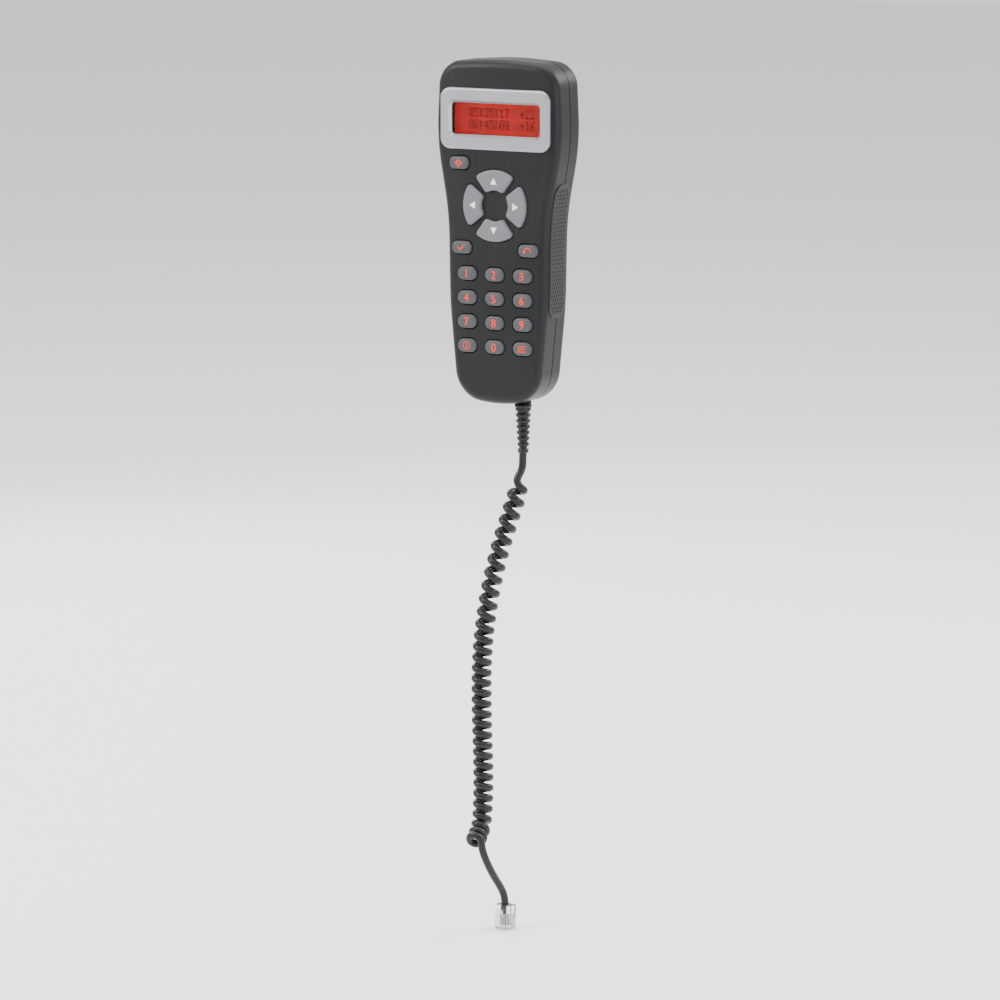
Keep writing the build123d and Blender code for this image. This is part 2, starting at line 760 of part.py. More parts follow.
def plug_contacts():
    """The six gold blades."""
    blades = [(Pos(x, plug_height / 2 - 1.05, -9.7) * Box(0.34, 1.7, 4.2)) for x in wire_places()]
    return Compound([(plug_frame() * blade).solid() for blade in blades])


def plug_conductors():
    """The six coloured wires inside the plug."""
    wires = [(Pos(x, 0.6, -plug_entry_depth - 3.1) * Cylinder(0.45, 6.1)) for x in wire_places()]
    return Compound([(plug_frame() * wire).solid() for wire in wires])


def plug_latch():
    """The latch: a tongue that springs from the nose and leans away from the plug body."""
    root_y = -plug_height / 2 - 0.75
    root_z = -plug_length + 0.3
    tip_y, tip_z = root_y - latch_lift, root_z + latch_length
    profile = [
        (root_y, root_z), (root_y - latch_thick, root_z), (tip_y - latch_thick, tip_z), (tip_y, tip_z),
    ]
    tongue = extrude(make_face(Plane.YZ * Polyline(*profile, close=True)), amount=3.1, both=True)
    narrow = Pos(0, root_y - 2, root_z + 8.5) * (Box(10, 10, 6.4) - Box(3.2, 10, 6.4))
    tongue = tongue - narrow
    return plug_frame() * tongue.solid()


# ---------------------------------------------------------------- assembly
def main():
    """Build every node and write it."""
    os.makedirs("parts", exist_ok=True)
    body = case_body()
    cavity = case_cavity()
    nodes = {
        "front_shell": front_shell(body, cavity),
        "rear_shell": rear_shell(body, cavity),
        "left_grip": side_grip(-1),
        "right_grip": side_grip(1),
        "rear_pad": rear_pad(),
        "case_screws": case_screws(),
        "display_bezel": display_bezel(),
        "display_window": display_window(),
        "display_gasket": display_gasket(),
        "display_frame": display_frame(),
        "display_glass": display_glass(),
        "display_backlight": display_backlight(),
        "display_board": display_board(),
        "display_ribbon": display_ribbon(),
        "display_screws": fixing_screws(display_post_places(), display_board_front - display_board_thick),
        "keypad_mat": keypad_mat(),
        "main_board": main_board(),
        "board_screws": fixing_screws(board_post_places, board_back),
        "key_contacts": key_contacts(),
        "controller_chip": controller_chip(),
        "memory_chip": memory_chip(),
        "clock_crystal": clock_crystal(),
        "small_parts": small_parts(),
        "key_lamps": key_lamps(),
        "serial_jack": serial_jack(),
        "serial_contacts": serial_contacts(),
        "cord_header": cord_header(),
        "cord_wires": cord_wires(),
        "cord_tie": cord_tie(),
        "strain_relief": strain_relief(),
        "cord_upper_lead": cord_tube("upper lead", upper_lead_points(), cord_radius),
        "cord_coil": cord_tube("coil", coil_points(), coil_outer_radius),
        "cord_lower_lead": cord_tube("lower lead", lower_lead_points(), cord_radius),
        "plug_body": plug_body(),
        "plug_contacts": plug_contacts(),
        "plug_conductors": plug_conductors(),
        "plug_latch": plug_latch(),
    }
    for name, outline in key_outlines().items():
        nodes[name] = key(outline)
    for name, shape in nodes.items():
        write(name, shape)


main()
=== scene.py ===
"""Looks of a telescope hand controller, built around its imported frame.

Metres, +Z up, the keypad faces -Y and +X is to the right of a person reading the display.  The
controller stands in its holder by its rear face and its curly cord hangs from the lower end.
"""
from __future__ import annotations

import logging
import math
from collections.abc import Callable, Sequence
from dataclasses import dataclass, field
from enum import Enum

import bmesh
import bpy
from mathutils import Matrix, Vector
from mathutils.bvhtree import BVHTree


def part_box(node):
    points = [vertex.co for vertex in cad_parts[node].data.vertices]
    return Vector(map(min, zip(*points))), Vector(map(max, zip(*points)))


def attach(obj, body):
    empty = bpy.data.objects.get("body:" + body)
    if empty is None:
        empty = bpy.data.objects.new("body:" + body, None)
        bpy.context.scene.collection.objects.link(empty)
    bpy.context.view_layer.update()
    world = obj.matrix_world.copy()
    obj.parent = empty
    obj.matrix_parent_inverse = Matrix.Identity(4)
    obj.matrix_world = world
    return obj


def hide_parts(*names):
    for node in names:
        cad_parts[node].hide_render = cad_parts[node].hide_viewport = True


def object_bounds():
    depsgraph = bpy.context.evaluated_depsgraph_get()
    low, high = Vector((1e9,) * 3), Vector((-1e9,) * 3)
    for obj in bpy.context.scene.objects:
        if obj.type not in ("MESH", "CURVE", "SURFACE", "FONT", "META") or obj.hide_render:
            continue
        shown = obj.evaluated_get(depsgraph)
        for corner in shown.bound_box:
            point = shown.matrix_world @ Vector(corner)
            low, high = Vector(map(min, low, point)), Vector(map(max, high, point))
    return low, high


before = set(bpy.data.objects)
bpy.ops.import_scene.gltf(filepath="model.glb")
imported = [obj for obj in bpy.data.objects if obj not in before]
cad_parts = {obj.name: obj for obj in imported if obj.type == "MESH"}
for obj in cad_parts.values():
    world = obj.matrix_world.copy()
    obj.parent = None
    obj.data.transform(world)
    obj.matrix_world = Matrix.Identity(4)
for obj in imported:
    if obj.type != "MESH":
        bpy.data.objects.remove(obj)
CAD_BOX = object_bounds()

log = logging.getLogger("hand_controller")

MM = 0.001
TINY = 0.001 * MM
Point = tuple[float, float]
Triple = tuple[float, float, float]
Colour = Triple


class KeyKind(Enum):
    """How a key is shaped."""

    DIRECTION = "direction"
    FUNCTION = "function"
    PAD = "pad"


class SmallShape(Enum):
    """What a Geometry Nodes tree repeats."""

    BALL = "GeometryNodeMeshIcoSphere"
    BLOCK = "GeometryNodeMeshCube"


# ------------------------------------------------------------------ shader building
class Term:
    """A number socket in a material, which can be used in arithmetic."""

    def __init__(self, shader: Shader, socket: bpy.types.NodeSocket) -> None:
        """Wrap one output socket."""
        self.shader = shader
        self.socket = socket

    def _join(self, operation: str, first: Term | float, second: Term | float) -> Term:
        """Add a Math node.

        Args:
            operation: The Math node's operation.
            first: Its first value.
            second: Its second value.

        Returns:
            The node's result.
        """
        made = self.shader.node("ShaderNodeMath", {"operation": operation}, {0: first, 1: second})
        return Term(self.shader, made.outputs[0])

    def __add__(self, other: Term | float) -> Term:
        """Sum."""
        return self._join("ADD", self, other)

    def __radd__(self, other: float) -> Term:
        """Sum with a number first."""
        return self._join("ADD", other, self)

    def __mul__(self, other: Term | float) -> Term:
        """Product."""
        return self._join("MULTIPLY", self, other)

    def __rmul__(self, other: float) -> Term:
        """Product with a number first."""
        return self._join("MULTIPLY", other, self)

    def clamped(self, low: float, high: float) -> Term:
        """Map a range to 0 to 1, held at its ends.

        Args:
            low: Where the range starts.
            high: Where the range ends.

        Returns:
            The mapped value.
        """
        made = self.shader.node(
            "ShaderNodeMapRange", {"clamp": True}, {"Value": self, "From Min": low, "From Max": high})
        return Term(self.shader, made.outputs["Result"])


class Shader:
    """One procedural material around a Principled shader."""

    def __init__(self, name: str) -> None:
        """Make an empty material with this name."""
        self.material = bpy.data.materials.new(name)
        self.material.use_nodes = True
        self.tree = self.material.node_tree
        self.tree.nodes.clear()
        self.surface = self.node("ShaderNodeBsdfPrincipled")
        output = self.node("ShaderNodeOutputMaterial")
        self.tree.links.new(self.surface.outputs[0], output.inputs["Surface"])
        self.place = self.node("ShaderNodeTexCoord").outputs["Object"]

    def node(self, kind: str, settings: dict | None = None, inputs: dict | None = None) -> bpy.types.Node:
        """Add a node.

        Args:
            kind: The node's type.
            settings: Its properties, set first; "stops" sets a ramp's stops.
            inputs: Its sockets' values, Terms or sockets, by name or number.

        Returns:
            The new node.
        """
        made = self.tree.nodes.new(kind)
        for key, value in (settings or {}).items():
            if key == "stops":
                self.set_stops(made.color_ramp, value)
            else:
                setattr(made, key, value)
        for key, value in (inputs or {}).items():
            self.feed(made.inputs[key], value)
        return made

    def set_stops(self, ramp: bpy.types.ColorRamp, stops: Sequence[tuple[float, Colour]]) -> None:
        """Give a colour ramp hard-edged stops.

        Args:
            ramp: A new node's ramp, which starts with two stops.
            stops: Where each stop begins and its colour.
        """
        ramp.interpolation = "CONSTANT"
        for index, (place, colour) in enumerate(stops):
            stop = ramp.elements[index] if index < 2 else ramp.elements.new(place)
            stop.position = place
            stop.color = (*colour, 1.0)

    def feed(self, socket: bpy.types.NodeSocket, value: object) -> None:
        """Link or set one input socket.

        Args:
            socket: The input socket.
            value: A Term or an output socket to link, or else the value to set.
        """
        if isinstance(value, Term):
            self.tree.links.new(value.socket, socket)
        elif isinstance(value, bpy.types.NodeSocket):
            self.tree.links.new(value, socket)
        else:
            socket.default_value = value

    def noise(self, size: float, detail: float = 4.0, rough: float = 0.55,
              stretch: Triple = (1.0, 1.0, 1.0)) -> Term:
        """Soft noise in the piece's own coordinates.

        Args:
            size: The width of one blotch, in metres.
            detail: How many octaves it has.
            rough: How strong the fine octaves are.
            stretch: How much finer it is along each axis.

        Returns:
            The noise, about 0.3 to 0.7.
        """
        place = self.node("ShaderNodeMapping", None, {"Vector": self.place, "Scale": stretch})
        made = self.node(
            "ShaderNodeTexNoise", None,
            {"Vector": place.outputs[0], "Scale": 1 / size, "Detail": detail, "Roughness": rough})
        return Term(self, made.outputs["Fac"])

    def cells(self, size: float) -> Term:
        """Rounded cells in the piece's own coordinates, as a distance from each cell's middle."""
        made = self.node("ShaderNodeTexVoronoi", None, {"Vector": self.place, "Scale": 1 / size})
        return Term(self, made.outputs["Distance"])

    def mixed(self, factor: Term, low: Colour, high: Colour) -> bpy.types.NodeSocket:
        """Mix two colours.

        Args:
            factor: How much of the second there is.
            low: The first colour.
            high: The second colour.

        Returns:
            The mixed colour.
        """
        made = self.node(
            "ShaderNodeMix", {"data_type": "RGBA"},
            {"Factor": factor, "A": (*low, 1.0), "B": (*high, 1.0)})
        return made.outputs["Result"]

    def paint(self, colour: bpy.types.NodeSocket) -> None:
        """Give the surface a colour that varies."""
        self.feed(self.surface.inputs["Base Color"], colour)

    def glow(self, colour: bpy.types.NodeSocket, strength: float) -> None:
        """Make the surface give off a colour that varies."""
        self.feed(self.surface.inputs["Emission Color"], colour)
        self.fix(Emission_Strength=strength)

    def roughen(self, roughness: Term) -> None:
        """Give the surface a roughness that varies."""
        self.feed(self.surface.inputs["Roughness"], roughness)

    def bump(self, height: Term, depth: float) -> None:
        """Feed the surface's normal from a height.

        Args:
            height: The relief, 0 to 1.
            depth: How deep 1 is, in metres.
        """
        made = self.node("ShaderNodeBump", None, {"Strength": 1.0, "Distance": depth, "Height": height})
        self.tree.links.new(made.outputs[0], self.surface.inputs["Normal"])

    def fix(self, **values: object) -> None:
        """Set constant sockets of the surface, by name with spaces as underscores."""
        for key, value in values.items():
            self.surface.inputs[key.replace("_", " ")].default_value = value


def shaded(colour: Colour, scale: float, lift: float = 0.0) -> Colour:
    """A colour made paler or darker, channel by channel."""
    return tuple(min(1.0, channel * scale + lift) for channel in colour)


# ------------------------------------------------------------------ finishes
@dataclass(frozen=True)
class Finish:
    """A finish with a name, which each kind lays on a shader in its own way."""

    name: str

    def material(self) -> bpy.types.Material:
        """Build the finish.

        Returns:
            The finished material.
        """
        shader = Shader(self.name)
        self.lay(shader)
        return shader.material

    def lay(self, shader: Shader) -> None:
        """Lay this kind's colour, gloss and relief on the shader."""
        raise NotImplementedError


@dataclass(frozen=True)
class GrainedPlastic(Finish):
    """Moulded plastic with a spark-eroded grain, faint flow marks and light handling wear."""

    colour: Colour
    roughness: float = 0.5
    grain: float = 0.65 * MM
    depth: float = 0.055 * MM
    wear: float = 0.5
    shine: float = 0.2

    def lay(self, shader: Shader) -> None:
        """Lay the grain over flow marks and scuffs.

        Args:
            shader: The material's shader.
        """
        grain = shader.cells(self.grain)
        fine = shader.noise(self.grain * 0.6, 3.0)
        flow = shader.noise(38 * MM, 3.0, 0.5)
        scuffs = shader.noise(6 * MM, 6.0, 0.7, (1.0, 1.0, 0.35)).clamped(0.56, 0.74)
        tint = (flow * 0.6 + fine * 0.25 + scuffs * (0.3 * self.wear)).clamped(0.25, 0.85)
        shader.paint(shader.mixed(tint, self.colour, shaded(self.colour, 1.45, 0.004)))
        shader.roughen(flow * 0.14 + fine * 0.12 + scuffs * (0.12 * self.wear) + (self.roughness - 0.13))
        shader.bump(grain * 0.75 + fine * 0.5, self.depth)
        shader.fix(Specular_IOR_Level=self.shine)


@dataclass(frozen=True)
class SoftRubber(Finish):
    """Matt rubber or silicone with a velvety face and a little dust."""

    colour: Colour
    roughness: float = 0.62
    dust: float = 0.5

    def lay(self, shader: Shader) -> None:
        """Lay dust over a fine matt face.

        Args:
            shader: The material's shader.
        """
        fine = shader.noise(0.28 * MM, 4.0, 0.6)
        broad = shader.noise(9 * MM, 4.0, 0.6)
        dust = broad.clamped(0.5, 0.75) * self.dust
        shader.paint(shader.mixed(dust, self.colour, shaded(self.colour, 1.25, 0.01)))
        shader.roughen(broad * 0.18 + fine * 0.1 + (self.roughness - 0.14))
        shader.bump(fine * 0.7 + broad * 0.3, 0.02 * MM)
        shader.fix(Sheen_Weight=0.03, Sheen_Roughness=0.5, Specular_IOR_Level=0.3)


@dataclass(frozen=True)
class SilverPaint(Finish):
    """Satin silver paint with fine flake."""

    colour: Colour

    def lay(self, shader: Shader) -> None:
        """Lay flake under a coat with a little orange peel.

        Args:
            shader: The material's shader.
        """
        flake = shader.cells(0.12 * MM)
        broad = shader.noise(20 * MM, 3.0)
        orange_peel = shader.noise(1.1 * MM, 2.0)
        tint = (flake * 0.8 + broad * 0.4).clamped(0.2, 0.9)
        shader.paint(shader.mixed(tint, self.colour, shaded(self.colour, 1.25)))
        shader.roughen(flake * 0.12 + broad * 0.12 + 0.28)
        shader.bump(orange_peel * 0.6 + flake * 0.25, 0.012 * MM)
        shader.fix(Metallic=0.75, Coat_Weight=0.25, Coat_Roughness=0.2)


@dataclass(frozen=True)
class PlatedMetal(Finish):
    """Plated metal with fine drawn lines along one axis."""

    colour: Colour
    roughness: float = 0.28

    def lay(self, shader: Shader) -> None:
        """Lay drawn lines and a faint stain.

        Args:
            shader: The material's shader.
        """
        lines = shader.noise(0.5 * MM, 3.0, 0.6, (1.0, 1.0, 6.0))
        stain = shader.noise(2.5 * MM, 4.0)
        shader.paint(shader.mixed(stain.clamped(0.35, 0.7), self.colour, shaded(self.colour, 0.72)))
        shader.roughen(lines * 0.2 + stain * 0.12 + (self.roughness - 0.16))
        shader.bump(lines, 0.006 * MM)
        shader.fix(Metallic=1.0)


@dataclass(frozen=True)
class ClearPlastic(Finish):
    """Clear moulded plastic with faint moulding ripples and fine scratches."""

    colour: Colour
    roughness: float = 0.05
    ripple: float = 0.004 * MM
    index: float = 1.46

    def lay(self, shader: Shader) -> None:
        """Lay ripples and scratches on the clear plastic.

        Args:
            shader: The material's shader.
        """
        scratch = shader.noise(0.8 * MM, 5.0, 0.7, (1.0, 1.0, 8.0)).clamped(0.6, 0.8)
        shader.roughen(scratch * 0.15 + self.roughness)
        shader.bump(shader.noise(3 * MM, 2.0), self.ripple)
        shader.fix(Base_Color=(*self.colour, 1.0), Transmission_Weight=1.0, IOR=self.index)


@dataclass(frozen=True)
class CordJacket(Finish):
    """Satin extruded jacket with faint ripples and handling marks."""

    colour: Colour

    def lay(self, shader: Shader) -> None:
        """Lay handling marks over the extruded face.

        Args:
            shader: The material's shader.
        """
        fine = shader.noise(0.22 * MM, 4.0, 0.6)
        broad = shader.noise(7 * MM, 4.0, 0.6)
        shader.paint(shader.mixed(broad.clamped(0.4, 0.75), self.colour, shaded(self.colour, 1.6, 0.003)))
        shader.roughen(broad * 0.2 + fine * 0.08 + 0.22)
        shader.bump(fine * 0.8 + broad * 0.4, 0.014 * MM)
        shader.fix(Specular_IOR_Level=0.3)


@dataclass(frozen=True)
class LitInk(Finish):
    """Translucent ink that glows a little, as on a lit key."""

    colour: Colour
    strength: float = 0.7

    def lay(self, shader: Shader) -> None:
        """Lay patchy ink that glows.

        Args:
            shader: The material's shader.
        """
        patch = shader.noise(1.2 * MM, 3.0)
        ink = shader.mixed(patch.clamped(0.3, 0.7), self.colour, shaded(self.colour, 0.72))
        shader.paint(ink)
        shader.glow(ink, self.strength)
        shader.roughen(patch * 0.2 + 0.38)
        shader.fix(Specular_IOR_Level=0.12)


@dataclass(frozen=True)
class LitCell(Finish):
    """The lit display, a little uneven from side to side."""

    colour: Colour
    dim: Colour
    strength: float = 1.1

    def lay(self, shader: Shader) -> None:
        """Lay broad and fine unevenness on the glow.

        Args:
            shader: The material's shader.
        """
        fine, broad = shader.noise(0.3 * MM, 2.0), shader.noise(26 * MM, 2.0)
        tint = shader.mixed((broad + fine * 0.15).clamped(0.4, 0.72), self.colour, self.dim)
        shader.paint(tint)
        shader.glow(tint, self.strength)
        shader.roughen(fine * 0.1 + 0.2)
        shader.fix(Specular_IOR_Level=0.12)


@dataclass(frozen=True)
class StripedInsulation(Finish):
    """Six insulated wires side by side, each of its own colour."""

    middle: float
    pitch: float
    colours: tuple[Colour, ...]

    def lay(self, shader: Shader) -> None:
        """Lay a stripe of colour along each wire.

        Args:
            shader: The material's shader.
        """
        across = Term(shader, shader.node("ShaderNodeSeparateXYZ", None, {0: shader.place}).outputs["X"])
        count = len(self.colours)
        half = self.pitch * count / 2
        stops = [(index / count, colour) for index, colour in enumerate(self.colours)]
        ramp = shader.node(
            "ShaderNodeValToRGB", {"stops": stops},
            {"Fac": across.clamped(self.middle - half, self.middle + half)})
        shader.paint(ramp.outputs["Color"])
        fine = shader.noise(0.4 * MM, 3.0)
        shader.roughen(fine * 0.2 + 0.25)
        shader.bump(fine, 0.01 * MM)


# ------------------------------------------------------------------ mesh building
def piece(name: str, mesh: bpy.types.Mesh, material: bpy.types.Material, body: str,
          slot: str) -> bpy.types.Object:
    """Put a mesh in the scene as a piece that rides on a body.

    Args:
        name: The piece's name.
        mesh: Its mesh, already in place.
        material: Its finish.
        body: The body that it moves with.
        slot: The record's material slot, which is not used.

    Returns:
        The new object.
    """
    made = linked(name, mesh)
    mesh.materials.clear()
    mesh.materials.append(material)
    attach(made, body)
    log.info("%s rides on %s with %d faces", name, body, len(mesh.polygons))
    return made


def dress(node: str, material: bpy.types.Material) -> None:
    """Give a frame node a better material.

    Args:
        node: The node's name.
        material: The finish for all of its slots.
    """
    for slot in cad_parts[node].material_slots:
        slot.material = material
    log.info("%s dressed in %s", node, material.name)


def linked(name: str, data: bpy.types.ID) -> bpy.types.Object:
    """A new object in the scene around this mesh, curve, text, light or camera."""
    made = bpy.data.objects.new(name, data)
    bpy.context.scene.collection.objects.link(made)
    return made


def plain_mesh(holder: bpy.types.Object) -> bpy.types.Mesh:
    """The mesh that an object gives with its modifiers, and remove the object.

    Args:
        holder: An object that is only there to be evaluated.

    Returns:
        The mesh.
    """
    mesh = bpy.data.meshes.new_from_object(holder.evaluated_get(bpy.context.evaluated_depsgraph_get()))
    bpy.data.objects.remove(holder)
    return mesh


def mesh_from(name: str, rows: Sequence[Sequence[Vector]], closed: bool = True, lid: bool = False,
              around: bool = False) -> bpy.types.Mesh:
    """Skin rings of equal length into a surface.

    Args:
        name: The mesh's name.
        rows: The rings, each a list of points.
        closed: Whether each ring closes on itself.
        lid: Whether one face closes the last ring.
        around: Whether the last ring joins the first.

    Returns:
        The mesh, with its faces turned outwards.
    """
    work = bmesh.new()
    rings = [[work.verts.new(point) for point in row] for row in rows]
    count = len(rings[0])
    last = count if closed else count - 1
    for low, high in zip(rings, rings[1:] + rings[:1] if around else rings[1:]):
        for index in range(last):
            follow = (index + 1) % count
            work.faces.new((low[index], low[follow], high[follow], high[index]))
    if lid:
        work.faces.new(rings[-1])
    bmesh.ops.recalc_face_normals(work, faces=work.faces)
    mesh = bpy.data.meshes.new(name)
    work.to_mesh(mesh)
    work.free()
    mesh.polygons.foreach_set("use_smooth", [True] * len(mesh.polygons))
    return mesh


def eased(share: float) -> float:
    """A share held between 0 and 1, and eased at both ends."""
    held = min(1.0, max(0.0, share))
    return held * held * (3 - 2 * held)


def arc(centre: Point, radius: float, start: float, end: float, steps: int) -> list[Point]:
    """Points on an arc.

    Args:
        centre: Its middle.
        radius: Its radius.
        start: Its first angle, in degrees.
        end: Its last angle, in degrees.
        steps: How many spaces it has.

    Returns:
        The points, both ends included.
    """
    angles = [math.radians(start + (end - start) * step / steps) for step in range(steps + 1)]
    return [(centre[0] + radius * math.cos(angle), centre[1] + radius * math.sin(angle)) for angle in angles]


def rounded_outline(centre: Point, width: float, height: float, corner: float, steps: int = 8) -> list[Point]:
    """The outline of a rectangle with round corners, anticlockwise.

    Args:
        centre: Its middle.
        width: Its size along the first axis.
        height: Its size along the second axis.
        corner: The radius of its corners, at most half its shorter side.
        steps: How many spaces each corner has.

    Returns:
        The outline's points, none of them doubled.
    """
    outline: list[Point] = []
    for turn, (right, up) in enumerate(((1, 1), (-1, 1), (-1, -1), (1, -1))):
        middle = (centre[0] + right * (width / 2 - corner), centre[1] + up * (height / 2 - corner))
        outline += arc(middle, corner, 90 * turn, 90 * turn + 90, steps)
    return [point for index, point in enumerate(outline) if math.dist(point, outline[index - 1]) > TINY]


def sector_outline(centre: Point, inner: float, outer: float, half: float, angle: float, corner: float,
                   outer_steps: int = 16, inner_steps: int = 12, steps: int = 6) -> list[Point]:
    """The outline of a quarter of a ring with round corners, anticlockwise.

    Args:
        centre: The ring's middle.
        inner: The ring's inner radius.
        outer: The ring's outer radius.
        half: Half the angle that the quarter spans, in degrees.
        angle: The direction of its middle, in degrees.
        corner: The radius of its corners.
        outer_steps: How many spaces its outer side has.
        inner_steps: How many spaces its inner side has.
        steps: How many spaces each corner has.

    Returns:
        The outline's points.
    """
    far = half - math.degrees(math.asin(corner / (outer - corner)))
    near = half - math.degrees(math.asin(corner / (inner + corner)))

    def at(radius: float, turn: float) -> Point:
        """A point in polar coordinates about the ring's middle."""
        return arc(centre, radius, angle + turn, angle + turn, 1)[0]

    outline = arc(centre, outer, angle - far, angle + far, outer_steps)
    outline += arc(at(outer - corner, far), corner, angle + far, angle + half + 90, steps)[1:]
    outline += arc(at(inner + corner, near), corner, angle + half + 90, angle + near + 180, steps)
    outline += arc(centre, inner, angle + near, angle - near, inner_steps)[1:]
    outline += arc(at(inner + corner, -near), corner, angle - near + 180, angle - half + 270, steps)[1:]
    outline += arc(at(outer - corner, -far), corner, angle - half - 90, angle - far, steps)[:-1]
    return outline


def inset(outline: Sequence[Point], amount: float) -> list[Point]:
    """Move each side of an anticlockwise outline inwards by the same amount.

    Args:
        outline: The outline's points.
        amount: How far the sides move.

    Returns:
        The smaller outline, point for point.
    """
    moved = []
    count = len(outline)
    for index, (x, z) in enumerate(outline):
        before, after = outline[index - 1], outline[(index + 1) % count]
        run_in = Vector((x - before[0], z - before[1])).normalized()
        run_out = Vector((after[0] - x, after[1] - z)).normalized()
        along = (run_in + run_out).normalized()
        reach = amount / max(0.5, along.dot(run_in))
        moved.append((x - along.y * reach, z + along.x * reach))
    return moved


@dataclass(frozen=True)
class CapShape:
    """How a key's cap is rounded: a tight edge, then a pillow that runs up to its middle."""

    edge: float = 0.9 * MM
    slope: float = 0.13
    shrink_limit: float = 0.94
    steps: int = 6

    def build(self, name: str, outline: Sequence[Point], top: float, foot: float,
              corner: float) -> bpy.types.Mesh:
        """Build a cap.

        Args:
            name: The mesh's name.
            outline: Its outline in (x, z), anticlockwise.
            top: The y of its highest part.
            foot: The y where it meets its flange.
            corner: The radius of the outline's tightest corner, which limits how far it can shrink.

        Returns:
            The cap, closed at its top.
        """
        reach = corner * self.shrink_limit - self.edge
        crown = reach * self.slope
        shoulder = top + crown + self.edge
        rings = [(0.0, foot), (0.0, shoulder)]
        for step in range(1, self.steps + 1):
            turn = math.pi / 2 * step / self.steps
            rings.append((self.edge * (1 - math.cos(turn)), shoulder - self.edge * math.sin(turn)))
        for step in range(1, self.steps + 1):
            share = step / self.steps
            rings.append((self.edge + reach * share, top + crown * (1 - share) ** 2))
        rows = []
        for amount, depth in rings:
            rows.append([Vector((x, depth, z)) for x, z in inset(outline, amount)])
        return mesh_from(name, rows, lid=True)


class InstanceTree:
    """A Geometry Nodes tree that puts one small shape on every vertex of a mesh."""

    def __init__(self, name: str, shape: SmallShape, material: bpy.types.Material) -> None:
        """Build the tree.

        Args:
            name: Its name, which the mesh that it makes takes too.
            shape: What it puts on each vertex, 1 m across before it is sized.
            material: The finish of what it makes.
        """
        self.name = name
        self.tree = bpy.data.node_groups.new(name, "GeometryNodeTree")
        sockets = self.tree.interface
        sockets.new_socket(name="Geometry", in_out="INPUT", socket_type="NodeSocketGeometry")
        self.size = sockets.new_socket(name="Size", in_out="INPUT", socket_type="NodeSocketVector")
        sockets.new_socket(name="Geometry", in_out="OUTPUT", socket_type="NodeSocketGeometry")
        source = self.tree.nodes.new("NodeGroupInput")
        small = self.tree.nodes.new(shape.value)
        if shape is SmallShape.BALL:
            small.inputs["Radius"].default_value = 0.5
            small.inputs["Subdivisions"].default_value = 3
        spread = self.tree.nodes.new("GeometryNodeInstanceOnPoints")
        self.tree.links.new(source.outputs["Geometry"], spread.inputs["Points"])
        self.tree.links.new(source.outputs["Size"], spread.inputs["Scale"])
        self.tree.links.new(small.outputs["Mesh"], spread.inputs["Instance"])
        real = self.follow(spread, "GeometryNodeRealizeInstances")
        smooth = self.follow(real, "GeometryNodeSetShadeSmooth")
        smooth.inputs["Shade Smooth"].default_value = shape is SmallShape.BALL
        finish = self.follow(smooth, "GeometryNodeSetMaterial")
        finish.inputs["Material"].default_value = material
        self.follow(finish, "NodeGroupOutput")

    def follow(self, before: bpy.types.Node, kind: str) -> bpy.types.Node:
        """Add a node that works on what another gives.

        Args:
            before: The other node.
            kind: The new node's type.

        Returns:
            The new node.
        """
        made = self.tree.nodes.new(kind)
        self.tree.links.new(before.outputs[0], made.inputs[0])
        return made

    def spread(self, points: Sequence[Vector], size: Triple) -> bpy.types.Mesh:
        """Make the mesh of one shape on each point.

        Args:
            points: Where the shapes go.
            size: Each shape's size.

        Returns:
            The plain mesh.
        """
        seeds = bpy.data.meshes.new(self.name + "_seeds")
        seeds.from_pydata([tuple(point) for point in points], [], [])
        holder = linked(self.name + "_seeds", seeds)
        modifier = holder.modifiers.new("spread", "NODES")
        modifier.node_group = self.tree
        modifier[self.size.identifier] = size
        mesh = plain_mesh(holder)
        mesh.name = self.name
        return mesh


# ------------------------------------------------------------------ the case
@dataclass
class Case:
    """The two shells, their grips, rear pad and screws."""

    plastic: GrainedPlastic = GrainedPlastic("grained_case", (0.007, 0.007, 0.0078), 0.42)
    rubber: SoftRubber = SoftRubber("soft_rubber", (0.014, 0.014, 0.0145))
    steel: PlatedMetal = PlatedMetal("plated_steel", (0.62, 0.62, 0.63))

    def build(self) -> None:
        """Dress the shells, grips, pad and screws."""
        shell = self.plastic.material()
        for node in ("front_shell", "rear_shell"):
            dress(node, shell)
        rubber = self.rubber.material()
        for node in ("rear_pad", "display_gasket"):
            dress(node, rubber)
        SideGrip("left_grip", -1).build(rubber)
        SideGrip("right_grip", 1).build(rubber)
        steel = self.steel.material()
        for node in ("case_screws", "display_screws", "board_screws", "display_frame", "clock_crystal"):
            dress(node, steel)


